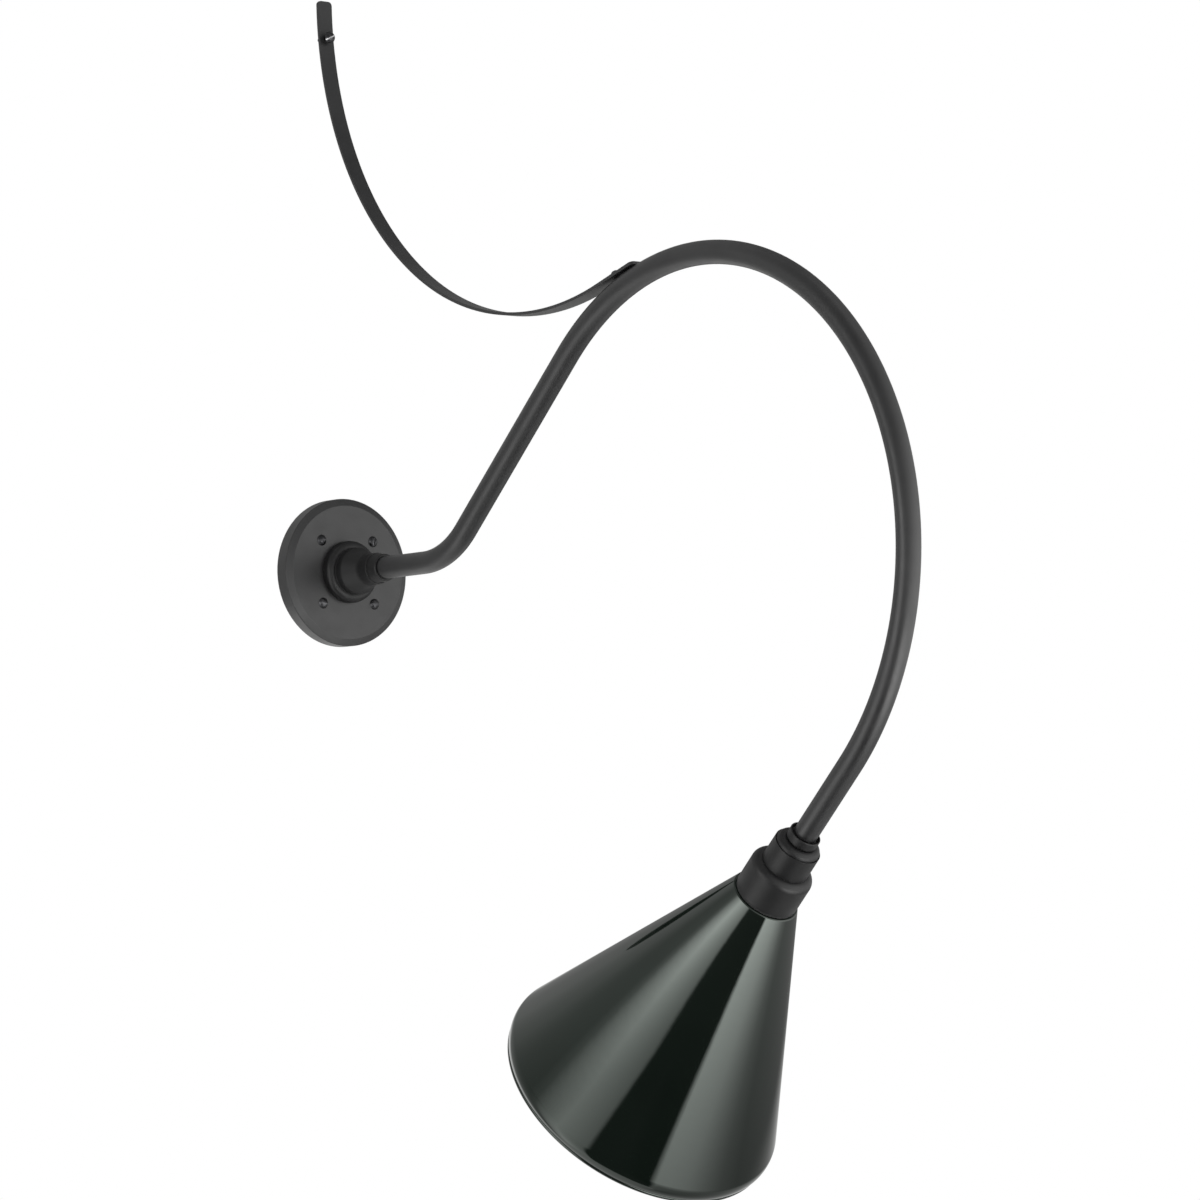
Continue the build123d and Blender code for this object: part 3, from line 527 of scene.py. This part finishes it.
# %% [markdown]
# ## The wall hub
#
# The hub is a bell turned from one bar: a rounded foot, a shoulder, a slope that runs out in a cove,
# and a collar that grips the tube. All its character is in the outline, so the corners below are the
# whole piece. Its bore steps from the tube's socket down to the wire passage and out through a spigot.

# %% Hub
hub_end = canopy_height + 61.2
foot_top = canopy_height + 10.6
cone_start = foot_top + 7.6
hub_outline = rounded(
    [
        (6.5, canopy_height - 12, 0.3),
        (10.0, canopy_height - 12, 0.6),
        (10.0, canopy_height, 0),
        (59.5 / 2, canopy_height, 0.3),
        (59.5 / 2, foot_top, 6.0),
        (45.2 / 2, foot_top, 0.4),
        (45.2 / 2, cone_start, 8.0),
        (30.4 / 2, cone_start + 17.0, 13.0),
        (30.4 / 2, foot_top + 38.3, 0.6),
        (28.1 / 2, foot_top + 38.3, 0.2),
        (26.4 / 2, hub_end, 1.4),
        (tube_radius + 0.1, hub_end, 0.3),
        (tube_radius + 0.1, tube_start, 0),
        (6.5, tube_start, 0),
    ],
    closed=True,
    step=5,
)
hub = make_piece(
    "hub", [turned(hub_outline, wall, 128, True)], [casting_coat], ["wall_hub"]
)

# %% [markdown]
# ## Screws
#
# A slotted round-head screw is a slice of a ball with a groove across it, on a threaded shank. A grid
# of straight lines suits the head better than rings would: the lines run along the slot, so two of
# them can stand exactly on its edges, one at the dome's height and one at the slot's floor, and the
# wall between them is upright. The thread is a radius that rises and falls with height less angle.

# %% Screw heads and threads
def slotted_head(diameter, height, where, seat, slot_turn, slot_width=1.3, slot_depth=1.2, lines=25):
    """z = c + root of (R squared - x squared - y squared), cut down to the slot's floor where |y| < w/2.

    R is the radius of the ball whose slice is the head, and c is the height of its centre.
    """
    rim = diameter / 2
    ball = (rim**2 + height**2) / (2 * height)
    edge = slot_width / 2
    side = rim * np.sin(np.linspace(np.arcsin(edge / rim), pi / 2, 12))
    y = np.concatenate([-side[::-1], [-edge], [0], [edge], side])[:, None]
    sunk = np.concatenate([np.zeros(12), np.ones(3), np.zeros(12)])[:, None] > 0
    x = np.sin(np.linspace(-pi / 2, pi / 2, lines))[None, :] * np.sqrt(np.maximum(rim**2 - y**2, 0))
    dome = height - ball + np.sqrt(np.maximum(ball**2 - x**2 - y**2, 0))
    z = np.maximum(np.where(sunk, np.minimum(dome, height - slot_depth), dome), 0)
    a = radians(slot_turn)
    turned_x, turned_y = x * cos(a) - y * sin(a), x * sin(a) + y * cos(a)
    top = put(np.stack([turned_x, turned_y, z + seat], axis=-1), where)
    under = put(np.stack([turned_x, turned_y, 0 * z + seat], axis=-1), where)
    return [(grid, False, False) for grid in (top[:12], top[11:16], top[15:], under)]


def threaded(diameter, pitch, depth, start, end, where, sides=32, rows_per_turn=8):
    """Radius = outer radius - depth times |2 f - 1|, where f is the part of a turn left over.

    The part of a turn is height over pitch less angle over a full turn. The thread dies away over one
    pitch at both ends, and a point on the axis closes each end.
    """
    rows = ceil((end - start) / pitch * rows_per_turn) + 1
    h = np.linspace(start, end, rows)[:, None]
    a = np.linspace(0, 2 * pi, sides, endpoint=False)[None, :]
    left_over = np.mod(h / pitch - a / (2 * pi), 1.0)
    fade = np.clip(np.minimum(h - start, end - h) / pitch, 0, 1)
    r = diameter / 2 - depth * (1 - fade * (1 - np.abs(2 * left_over - 1)))
    grid = np.stack([r * np.cos(a), r * np.sin(a), h + 0 * a], axis=-1)
    tips = [np.stack([0 * a, 0 * a, end_h + 0 * a], axis=-1) for end_h in (start, end)]
    return put(np.concatenate([tips[0], grid, tips[1]]), where), False, True


def shank(diameter, start, end, where, sides=32):
    """Plain round bar with closed ends."""
    return turned(rounded([(0, start, 0), (diameter / 2, start, 0), (diameter / 2, end, 0), (0, end, 0)]), where, sides)


# %% [markdown]
# ## Drilled holes
#
# A hole across a turned piece isn't part of its outline, so it is drilled afterwards, as in a workshop:
# a round bar is placed where the drill goes and is taken away from the piece with a Boolean. The result
# becomes the piece's own mesh, so nothing of the bar is left over. The holes let the set screws and the
# screws' shanks be seen where the real ones are.

# %% A drill
def drill(piece, diameter, holes):
    """Take a round bar away from the piece for each hole (place, start, end) along the place's axis."""
    bars, faces, count = [], [], 0
    for where, start, end in holes:
        grid, _, _ = shank(diameter, start, end, where, 40)
        bars.append(grid.reshape(-1, 3))
        faces.append(grid_faces(*grid.shape[:2], False, True, count))
        count += len(bars[-1])
    bar_mesh = bpy.data.meshes.new("Drill")
    bar_mesh.from_pydata(np.concatenate(bars), [], np.concatenate(faces).tolist())
    work = bmesh.new()
    work.from_mesh(bar_mesh)
    bmesh.ops.remove_doubles(work, verts=work.verts, dist=0.000002)
    bmesh.ops.recalc_face_normals(work, faces=work.faces)
    work.to_mesh(bar_mesh)
    work.free()
    bar = bpy.data.objects.new("Drill", bar_mesh)
    bpy.context.scene.collection.objects.link(bar)
    piece.modifiers.clear()
    cut = piece.modifiers.new("Holes", "BOOLEAN")
    cut.operation, cut.solver, cut.object = "DIFFERENCE", "EXACT", bar
    drilled = bpy.data.meshes.new_from_object(piece.evaluated_get(bpy.context.evaluated_depsgraph_get()))
    piece.modifiers.clear()
    piece.data = drilled
    bpy.data.objects.remove(bar)
    drilled.set_sharp_from_angle(angle=radians(32))
    even = piece.modifiers.new("Even normals", "WEIGHTED_NORMAL")
    even.keep_sharp = True
    print(piece.name, "drilled", len(holes), "holes,", len(drilled.polygons), "faces")


set_screw_hole = 5.2
drill(hub, set_screw_hole, [(place((0, -(hub_end - 7.0), 0), (0, 0, -1)), 9.5, 16.0)])

# %% Canopy screws
slot_turns = (8.0, 80.0, -12.0, 0.0)
screw_grids = []
for (x, y), slot_turn in zip(((-30.2, 30.2), (30.2, 30.2), (-30.2, -30.2), (30.2, -30.2)), slot_turns):
    spot = place((x, 0, y), (0, -1, 0))
    screw_grids += slotted_head(10.6, 3.4, spot, canopy_height, slot_turn)
    screw_grids.append(shank(5.4, 0, canopy_height + 0.2, spot))
    screw_grids.append(threaded(4.8, 0.8, 0.45, -20, 0.05, spot))
drill(canopy, 6.0, [(place((x, 0, y), (0, -1, 0)), 12.0, 22.0) for x in (-30.2, 30.2) for y in (-30.2, 30.2)])
canopy_screws = make_piece(
    "canopy_screw_set", screw_grids, [black_steel], ["canopy_screws"]
)

# %% Stay bar screws
wall_screw_up = bar_top - 36.6
wall_screw_spot = place((0, 0, wall_screw_up), (0, -1, 0))
wall_seat = bar_thickness + 7.0
wall_screw_grids = slotted_head(11.4, 4.2, wall_screw_spot, wall_seat, 28.0)
wall_screw_grids.append(shank(5.6, 0, wall_seat + 0.2, wall_screw_spot))
wall_screw_grids.append(threaded(4.8, 0.8, 0.45, -8, 0.05, wall_screw_spot))
# The slot's grid takes the bright steel: a painted highlight on the slot.
wall_screw = make_piece(
    "stay_wall_screw",
    wall_screw_grids,
    [black_steel, slot_highlight_steel, black_steel],
    ["strap_wall_screw"],
)
foot_heading = bar_headings[-1]
foot_way = np.array([cos(foot_heading), sin(foot_heading)])
foot_up = np.array([-sin(foot_heading), cos(foot_heading)])
arm_screw_at = bar_spots[-1] - 32.0 * foot_way + bar_thickness / 2 * foot_up
arm_screw_spot = place((0, -arm_screw_at[0], arm_screw_at[1]), (0, -foot_up[0], foot_up[1]))
arm_screw_grids = slotted_head(8.6, 3.0, arm_screw_spot, 2.2, 20.0)
arm_screw_grids.append(threaded(4.2, 0.7, 0.4, -bar_thickness - 9, 2.4, arm_screw_spot))
drill(stay, 6.2, [(wall_screw_spot, -3.0, 6.0)])
drill(stay, 4.8, [(arm_screw_spot, -5.0, 2.0)])
drill(arm, 4.4, [(arm_screw_spot, -9.0, 0.0)])
arm_screw = make_piece(
    "stay_arm_screw", arm_screw_grids, [black_steel], ["strap_arm_screw"]
)

# %% [markdown]
# ## The fitter: neck and cap
#
# The neck is turned with a rounded lip round the tube, then a domed shoulder that sinks behind a sharp
# rim, and a body that widens slightly to its foot. The cap is a cup with a full round shoulder. A real
# fitter has a dark line at each of these steps, and here the lines come from the true grooves.

# %% Fitter
neck_length, cap_end = 38.0, 72.0
neck_outline = rounded(
    [
        (tube_radius + 0.1, 4.0, 0),
        (tube_radius + 2.2, 4.0, 0),
        (tube_radius + 2.2, 0, 0.4),
        (28.2 / 2, 0, 0.8),
        (28.2 / 2, 8.5, 1.2),
        (12.6, 8.5, 0),
        (12.6, 9.0, 0),
        (40.4 / 2, 9.0, 6.0),
        (40.4 / 2, 16.6, 0),
        (41.6 / 2, 16.6, 0),
        (41.6 / 2, 14.7, 0.15),
        (42.4 / 2, 14.7, 0.15),
        (42.8 / 2, neck_length, 0.2),
        (8.3, neck_length, 0),
        (8.3, neck_length - 12, 0),
        (6.3, neck_length - 12, 0),
        (6.3, fitter_socket, 0),
        (tube_radius + 0.1, fitter_socket, 0),
    ],
    closed=True,
    step=5,
)
neck = make_piece(
    "fitter_collar", [turned(neck_outline, fitter, 128, True)], [casting_coat], ["fitter_neck"]
)
neck_screw_at = fitter[0] + 19.6 * fitter[3]
drill(neck, set_screw_hole, [(place(neck_screw_at, -fitter[2]), 9.5, 23.0)])
cap_outline = rounded(
    [
        (8.3, neck_length, 0),
        (57.2 / 2, neck_length, 7.6),
        (57.2 / 2, cap_end, 0.4),
        (57.2 / 2 - 3.2, cap_end, 0.3),
        (57.2 / 2 - 3.2, neck_length + 4.5, 4.4),
        (8.3, neck_length + 4.5, 0),
    ],
    closed=True,
    step=5,
)
cap = make_piece(
    "fitter_cup", [turned(cap_outline, fitter, 128, True)], [casting_coat], ["fitter_cap"]
)
shade_start = cap_end + 1.8
shade_seal_outline = rounded(
    [(24.7, cap_end, 0.2), (28.2, cap_end, 0.2), (28.2, shade_start, 0.2), (24.7, shade_start, 0.2)], closed=True
)
shade_seal = make_piece(
    "shade_seal", [turned(shade_seal_outline, fitter, 128, True)], [rubber], ["shade_gasket"]
)

# %% [markdown]
# ## The shade
#
# A spinner presses a flat disc over a wooden form until it is a cone, then rolls its edge in and curls
# it into a bead. The sheet keeps its thickness, so the inner skin is the outer one moved in along its
# own normal. Outside and inside are separate grids, because they have different enamels, and they meet
# at the hole in the top and inside the bead.

# %% Shade
shade_slope = radians(22.9)
edge_slope = shade_slope - radians(58.0)
sheet = 1.2
edge_spot = (60.6 / 2 + 259.7 * sin(shade_slope), shade_start + 259.7 * cos(shade_slope))
rim_spot = (edge_spot[0] + 9.5 * sin(edge_slope), edge_spot[1] + 9.5 * cos(edge_slope))
skin = rounded([(8.3, shade_start, 0), (60.6 / 2, shade_start, 1.6), (*edge_spot, 14.9), (*rim_spot, 0)], step=3)


def moved_in(outline, distance):
    """Each point moves by the distance along the normal, which is the way of its neighbours turned."""
    way = np.gradient(outline, axis=0)
    way = way / np.linalg.norm(way, axis=1, keepdims=True)
    return outline + distance * np.stack([-way[:, 1], way[:, 0]], axis=1)


lining = moved_in(skin, sheet)
bead_centre = (rim_spot[0] - sheet / 2 * cos(edge_slope), rim_spot[1] + sheet / 2 * sin(edge_slope))
bead = arc_points(bead_centre, 4.2 / 2, 0, 2 * pi, 15)[:-1]
shade = make_piece(
    "spun_shade",
    [
        turned(np.concatenate([lining[0:1], skin, lining[-1:]]), fitter, 256),
        turned(lining, fitter, 256),
        turned(bead, fitter, 256, True),
    ],
    [green_enamel, white_enamel, green_enamel],
    ["shade"],
)
print("shade rim radius", round(rim_spot[0], 1), "mm at", round(rim_spot[1], 1), "mm from the lip")

# %% [markdown]
# ## Inside: nipple, porcelain and screw shell
#
# The threaded nipple ties the fitter to the holder. The porcelain body is a turned block with a recess
# above and a well below. The screw shell is brass sheet, rolled into a thread so coarse that it reads as
# waves: its radius is a sine of height less angle, and the lamp's base has the same wave.

# %% Holder
porcelain_start = 83.2
cavity_start = porcelain_start + 15.5
nipple_piece = make_piece(
    "nipple_tube",
    [
        threaded(16.4, 1.4, 0.5, neck_length - 12, porcelain_start + 2.8, fitter, 48),
    ],
    [zinc],
    ["nipple"],
)
porcelain_outline = rounded(
    [
        (0, porcelain_start + 6.5, 0),
        (14.5, porcelain_start + 6.5, 0),
        (14.5, porcelain_start, 0.3),
        (25.5, porcelain_start, 1.5),
        (25.5, porcelain_start + 18, 1.5),
        (17.8, porcelain_start + 18, 1.0),
        (17.8, porcelain_start + 46, 0.8),
        (14.5, porcelain_start + 46, 0.8),
        (14.5, cavity_start, 0),
        (0, cavity_start, 0),
    ]
)
body = make_piece(
    "porcelain_holder", [turned(porcelain_outline, fitter, 96)], [porcelain], ["porcelain_body"]
)


def beside(x):
    """The fitter's place, moved x mm across."""
    return place(fitter[0] + x * fitter[1], fitter[3])


drill(body, 4.2, [(beside(x), porcelain_start - 1, porcelain_start + 19) for x in (-21.0, 21.0)])
drill(body, 2.6, [(beside(x), porcelain_start + 5.5, cavity_start + 1) for x in (-4.0, 10.6)])


def waved_wall(radius, depth, start, end, pitch=3.63, sides=72, rows_per_turn=14):
    """Radius = mean + depth times sine of (height over pitch less angle), dying away at both ends."""
    rows = ceil((end - start) / pitch * rows_per_turn) + 1
    h = np.linspace(start, end, rows)[:, None]
    a = np.linspace(0, 2 * pi, sides, endpoint=False)[None, :]
    fade = np.clip(np.minimum(h - start, end - h) / (pitch / 2), 0, 1)
    r = radius + depth * fade * np.sin(2 * pi * h / pitch - a)
    return np.stack([r * np.cos(a), r * np.sin(a), h + 0 * a], axis=-1)


def cup_grid(radius, depth, wall_thickness, start, end, hole):
    """Waved wall inside and out, closed over the rim and down to a floor with a round hole."""
    outside = waved_wall(radius, depth, start, end)
    inside = outside * [1 - wall_thickness / radius, 1 - wall_thickness / radius, 1]
    floor_out = outside[0:1] * [hole / radius, hole / radius, 1]
    floor_in = floor_out + [0, 0, wall_thickness]
    return np.concatenate([floor_out, outside, inside[::-1][:-1], inside[0:1] + [0, 0, wall_thickness], floor_in])


shell = make_piece(
    "threaded_shell",
    [(put(cup_grid(13.8, 0.15, 0.3, cavity_start, cavity_start + 27, 7.5), fitter), True, True)],
    [brass],
    ["screw_shell"],
)
drill(shell, 2.6, [(beside(10.6), cavity_start - 1, cavity_start + 1)])

# %% [markdown]
# ## The lamp
#
# A standard pear-shaped bulb: solder button, dark glass insulator, threaded base and glass. The glass
# is a neck, a straight flank and a ball that meet in smooth lines, which gives the outline its corners
# and arc. The lamp is on its own body, because it is the one thing that comes out, and everything of it
# rides on that body.

# %% Lamp
lamp_start = cavity_start + 3.45
base_start = lamp_start + 5.0
base_end = base_start + 22.0
button = rounded([(0, lamp_start, 0), (4.2, lamp_start, 0.7), (4.2, lamp_start + 1.4, 0), (0, lamp_start + 1.4, 0)])
lamp_button = make_piece("solder_button", [turned(button, fitter, 48)], [lamp_metal], ["lamp_contact"], "lamp")
cone = rounded([(0, lamp_start + 1.4, 0), (5.25, lamp_start + 1.4, 0.4), (9.5, base_start, 0), (0, base_start, 0)])
lamp_cone = make_piece("base_insulator", [turned(cone, fitter, 64)], [dark_glass], ["lamp_insulator"], "lamp")
base_wall = waved_wall(12.8, 0.38, base_start + 3.2, base_end)
base_inside = base_wall[-1:] * [0.95, 0.95, 1]
base_rows = [
    base_wall[0:1] * [0, 0, 1] - [0, 0, 3.2],
    base_wall[0:1] * [9.5 / 12.8, 9.5 / 12.8, 1] - [0, 0, 3.2],
    base_wall,
    base_inside,
    base_inside - [0, 0, 17],
    base_inside * [0, 0, 1] - [0, 0, 17],
]
lamp_base = make_piece(
    "threaded_base", [(put(np.concatenate(base_rows), fitter), False, True)], [lamp_metal], ["lamp_base"], "lamp"
)


def bulb_outline(shrink):
    """Neck, flank and ball. The flank touches the ball where the ball's radius is square to it."""
    start, neck, ball = base_end - 3.0, 12.5 - shrink, 30.0 - shrink
    centre, neck_top = base_end + 54.0, base_end + 9.0
    touch = atan2(neck_top - centre, neck) + acos(ball / hypot(neck, centre - neck_top))
    touch_spot = (ball * cos(touch), centre + ball * sin(touch))
    flank = rounded([(neck, start, 0), (neck, neck_top, 16.0), (*touch_spot, 0)], step=3)
    crown = arc_points((0, centre), ball, touch, pi / 2 - touch, 3)[1:]
    return np.concatenate([flank, crown])


glass = make_piece(
    "bulb",
    [turned(np.concatenate([bulb_outline(0), bulb_outline(0.8)[::-1]]), fitter, 96, True)],
    [bulb_glass],
    ["lamp_glass"],
    "lamp",
)

# %% [markdown]
# ## Small parts that stay as CAD made them
#
# Nuts, washers, set screws, rivets, the cross bar and the contact are flat-sided pieces whose solid is
# already the right shape. They keep their meshes, get a finish, and a fine bevel from the shader's side
# isn't needed at their size. The lead wires are plain tubes along the arm's route and stay as well.

# %% Dress the CAD pieces
cad_finishes = {
    "hub_set_screw": black_steel,
    "hub_washer": zinc,
    "hub_nut": zinc,
    "earth_screw": green_paint,
    "fitter_set_screw": black_steel,
    "cap_nut": zinc,
    "shade_washer": zinc,
    "shade_nut": zinc,
    "holder_bar": zinc,
    "bar_nut": zinc,
    "holder_screws": zinc,
    "centre_contact": brass,
    "socket_rivets": brass,
    "live_wire": black_sleeve,
    "neutral_wire": white_sleeve,
}
for node, finish in cad_finishes.items():
    mesh = frame["nodes"][node].data
    mesh.materials.clear()
    mesh.materials.append(finish)
left = [n for n, o in frame["nodes"].items() if n not in cad_finishes and not o.hide_render]
print("dressed", len(cad_finishes), "CAD pieces; left without a finish:", left)

# %% [markdown]
# ## Light: what the enamel mirrors
#
# A glossy dark shade shows nothing but its surroundings, so the surroundings are the real subject. In
# the photograph they are tall, soft lights with dark gaps between them. Here they are one large tent
# round the object, seen by mirror rays alone, whose glow is a function of the compass direction: two
# bright lights, a black card between them, and dimmer walls. Each light fades downwards, and the edges
# lean a little, as the photograph's do.

# %% Tent of tall lights
tent_stops = [
    (-180, 0.6), (-155, 0.7), (-112, 0.45), (-105, 0.65),  # the wall behind on the left
    (-98, 1.5), (-84, 3.0), (-63, 1.6),  # the light on the left
    (-60, 0.1), (-17, 0.1),  # the black card
    (-11, 4.9), (20, 3.5), (50, 1.3),  # the light in front
    (62, 0.8), (95, 0.5), (125, 0.3), (145, 0.25), (165, 0.4), (180, 0.6),  # the walls on the right
]
room_stops = [
    (-180, 1.5), (-150, 1.9), (-120, 1.7), (-72, 0.8), (-30, 1.3),
    (10, 2.9), (36, 3.1), (84, 1.0), (125, 0.6), (180, 1.5),
]
room_heights = [(-90, 0.6), (-30, 1.2), (0, 1.0), (15, 0.95), (45, 0.4), (60, 0.3), (90, 0.3)]
leans = [(-180, 0), (-140, -0.7), (-60, -0.7), (-8, 0), (80, 1.1), (180, 0)]
feet = [(-180, -14), (-150, -60), (-45, -60), (-10, -14), (180, -14)]


def tent_glow(azimuth, elevation):
    """Glow = room + weight times (strips - room).

    Rise is the elevation above the path -4 - 37 cos(azimuth - 12) degrees, along which the shade's
    straight lines mirror the tent. A strip grows by e to the power of (rise / 15 degrees) and leans half
    a degree for each degree of rise. Below the path it leans as the shade's rolled edge turns its mirror
    image, so that the bands run on over that edge. The strips end within 10 degrees of their feet and of
    their tops. The room is one level by azimuth times one by elevation, and below the horizon its level
    by azimuth turns into 1.15 less half the sine of it.
    """
    rise = elevation + 4 + 37 * np.cos(np.radians(azimuth - 12))
    near = np.clip(rise, -75, 14)
    lean = np.where(near > 0, 0.5, np.interp(azimuth, *np.array(leans).T))
    at = np.mod(azimuth + lean * near + 180, 360) - 180
    fades = np.interp(np.abs(azimuth), [0, 110, 140, 180], [1, 1, 0, 0])
    grown = np.maximum(near, np.interp(azimuth, [-45, -10], [0, -14]))
    strips = np.interp(at, *np.array(tent_stops).T) * np.exp(fades * grown / 15)
    foot = np.interp(azimuth, *np.array(feet).T)
    weight = np.clip((24 - rise) / 10, 0, 1) * np.clip((rise - foot + 10) / 10, 0, 1)
    around = np.interp(azimuth, *np.array(room_stops).T)
    below = 1.15 - 0.5 * np.sin(np.radians(azimuth))
    room = around + np.interp(elevation, [-30, -5], [1, 0]) * (below - around)
    room = room * np.interp(elevation, *np.array(room_heights).T)
    return room + weight * (strips - room)


shade_middle = put(np.array([[0.0, 0.0, 200.0]]), fitter)[0]
tent_radius = 1.6
azimuth, elevation = np.meshgrid(np.arange(-180, 180, 0.5), np.linspace(-90, 90, 121))
az, el = np.radians(azimuth), np.radians(elevation)
directions = np.stack([np.sin(az) * np.cos(el), -np.cos(az) * np.cos(el), np.sin(el)], axis=-1)
tent_points = (shade_middle + tent_radius * directions).reshape(-1, 3)
tent_mesh = bpy.data.meshes.new("Light tent")
tent_mesh.from_pydata(tent_points, [], grid_faces(*azimuth.shape, False, True, 0).tolist())
glow = tent_mesh.attributes.new("glow", "FLOAT", "POINT")
glow.data.foreach_set("value", tent_glow(azimuth, elevation).ravel().astype(np.float32))
tent = bpy.data.objects.new("Light tent", tent_mesh)
bpy.context.scene.collection.objects.link(tent)
tent.visible_camera = tent.visible_diffuse = tent.visible_transmission = tent.visible_shadow = False
tent_finish = bpy.data.materials.new("Tent glow")
tent_finish.use_nodes = True
tent_finish.cycles.emission_sampling = "NONE"
tent_nodes, tent_links = tent_finish.node_tree.nodes, tent_finish.node_tree.links
tent_nodes.clear()
reader = tent_nodes.new("ShaderNodeAttribute")
reader.attribute_name = "glow"
shine = tent_nodes.new("ShaderNodeEmission")
shine.inputs["Color"].default_value = (1.0, 1.0, 0.99, 1)
tent_links.new(reader.outputs["Fac"], shine.inputs["Strength"])
tent_links.new(shine.outputs[0], tent_nodes.new("ShaderNodeOutputMaterial").inputs["Surface"])
tent_mesh.materials.append(tent_finish)
print("tent of", len(tent_mesh.polygons), "faces, brightest", round(float(tent_glow(azimuth, elevation).max()), 1))

# %% [markdown]
# ## Light: soft lamps, white surroundings and a pale floor
#
# Matt surfaces need light from broad directions. A white world gives most of it at a plain level, and
# three large soft lamps add direction. The floor is 2.2 m below the canopy, as on a real wall, and a
# camera ray finds it nearly white, as the photograph's ground is, with the shadow still on it. It has no underside, so that the
# light can also be looked at from below, where its inside shows.

# %% World
world = bpy.data.worlds.new("White surroundings")
bpy.context.scene.world = world
world.use_nodes = True
nodes, links = world.node_tree.nodes, world.node_tree.links
sky = nodes["Background"]
sky.inputs["Color"].default_value = (1, 1, 1, 1)
path = nodes.new("ShaderNodeLightPath")
seen = None
for ray in ("Is Camera Ray", "Is Glossy Ray", "Is Transmission Ray"):
    if seen is None:
        seen = path.outputs[ray]
        continue
    either = nodes.new("ShaderNodeMath")
    either.operation = "MAXIMUM"
    links.new(seen, either.inputs[0])
    links.new(path.outputs[ray], either.inputs[1])
    seen = either.outputs[0]
level = nodes.new("ShaderNodeMapRange")
level.inputs["To Min"].default_value = 0.55
level.inputs["To Max"].default_value = 1.0
links.new(seen, level.inputs["Value"])
links.new(level.outputs["Result"], sky.inputs["Strength"])
print("world strength 0.55 for matt surfaces and 1 where it is seen")


# %% Soft lamps
def soft_lamp(name, spot, target, size, power):
    """Square lamp at a spot, turned to face its target, that mirrors don't show."""
    data = bpy.data.lights.new(name, "AREA")
    data.shape = "SQUARE"
    data.size = size
    data.energy = power
    lamp = bpy.data.objects.new(name, data)
    bpy.context.scene.collection.objects.link(lamp)
    back = np.array(spot, float) - np.array(target, float)
    back = back / np.linalg.norm(back)
    side = np.cross((0, 0, 1), back)
    side = side / np.linalg.norm(side)
    lamp.matrix_world = Matrix(np.vstack([np.column_stack([side, np.cross(back, side), back, spot]), [0, 0, 0, 1]]).tolist())
    lamp.visible_glossy = False
    return lamp


middle = (0, -0.45, 0.05)
soft_lamp("Lamp from behind the left", (-2.8, -0.4, 1.2), middle, 1.8, 30)
soft_lamp("Lamp from the right", (2.4, -2.2, 1.0), middle, 1.8, 24)
soft_lamp("Lamp from above", (0.2, -0.8, 2.8), middle, 2.0, 22)
print("three soft lamps")

# %% Floor
floor_mesh = bpy.data.meshes.new("Floor")
reach = 14.0
floor_corners = [(-reach, -reach, -2.2), (reach, -reach, -2.2), (reach, reach, -2.2), (-reach, reach, -2.2)]
floor_mesh.from_pydata(floor_corners, [], [(0, 1, 2, 3)])
floor = bpy.data.objects.new("Floor", floor_mesh)
bpy.context.scene.collection.objects.link(floor)
floor_finish = bpy.data.materials.new("Pale floor")
floor_finish.use_nodes = True
nodes, links = floor_finish.node_tree.nodes, floor_finish.node_tree.links
ground = nodes["Principled BSDF"]
ground.inputs["Base Color"].default_value = (0.84, 0.84, 0.84, 1)
ground.inputs["Roughness"].default_value = 0.9
white = nodes.new("ShaderNodeEmission")
blend = nodes.new("ShaderNodeMixShader")
share = nodes.new("ShaderNodeMapRange")
share.inputs["To Max"].default_value = 0.9
links.new(nodes.new("ShaderNodeLightPath").outputs["Is Camera Ray"], share.inputs["Value"])
links.new(share.outputs["Result"], blend.inputs["Fac"])
links.new(ground.outputs[0], blend.inputs[1])
links.new(white.outputs[0], blend.inputs[2])
one_sided = nodes.new("ShaderNodeMixShader")
links.new(nodes.new("ShaderNodeNewGeometry").outputs["Backfacing"], one_sided.inputs["Fac"])
links.new(blend.outputs[0], one_sided.inputs[1])
links.new(nodes.new("ShaderNodeBsdfTransparent").outputs[0], one_sided.inputs[2])
links.new(one_sided.outputs[0], nodes["Material Output"].inputs["Surface"])
floor_mesh.materials.append(floor_finish)
print("floor 2.2 m below the canopy")

# %% [markdown]
# ## Camera
#
# The photograph was taken from the left and slightly below the canopy, with a long lens. The position,
# the three turns and the lens below were found by fitting the arm, the canopy, the bar and the shade to
# their outlines in the picture, so the render can be laid over it.

# %% Camera
yaw, pitch, roll = radians(-39.1286), radians(3.7395), radians(-1.6212)
ahead = np.array([-sin(yaw) * cos(pitch), cos(yaw) * cos(pitch), sin(pitch)])
level_right = np.array([cos(yaw), sin(yaw), 0.0])
level_up = np.cross(level_right, ahead)
right = cos(roll) * level_right + sin(roll) * level_up
up = -sin(roll) * level_right + cos(roll) * level_up
camera_data = bpy.data.cameras.new("Camera")
camera_data.lens = 131.94
camera_data.sensor_width = 36
camera_data.clip_end = 60
camera = bpy.data.objects.new("Camera", camera_data)
bpy.context.scene.collection.objects.link(camera)
spot = np.array([-2.47326, -3.44083, -0.3091])
camera.matrix_world = Matrix(np.vstack([np.column_stack([right, up, -ahead, spot]), [0, 0, 0, 1]]).tolist())
bpy.context.scene.camera = camera
bpy.context.scene.view_settings.view_transform = "Standard"
print("camera at", spot.round(3))
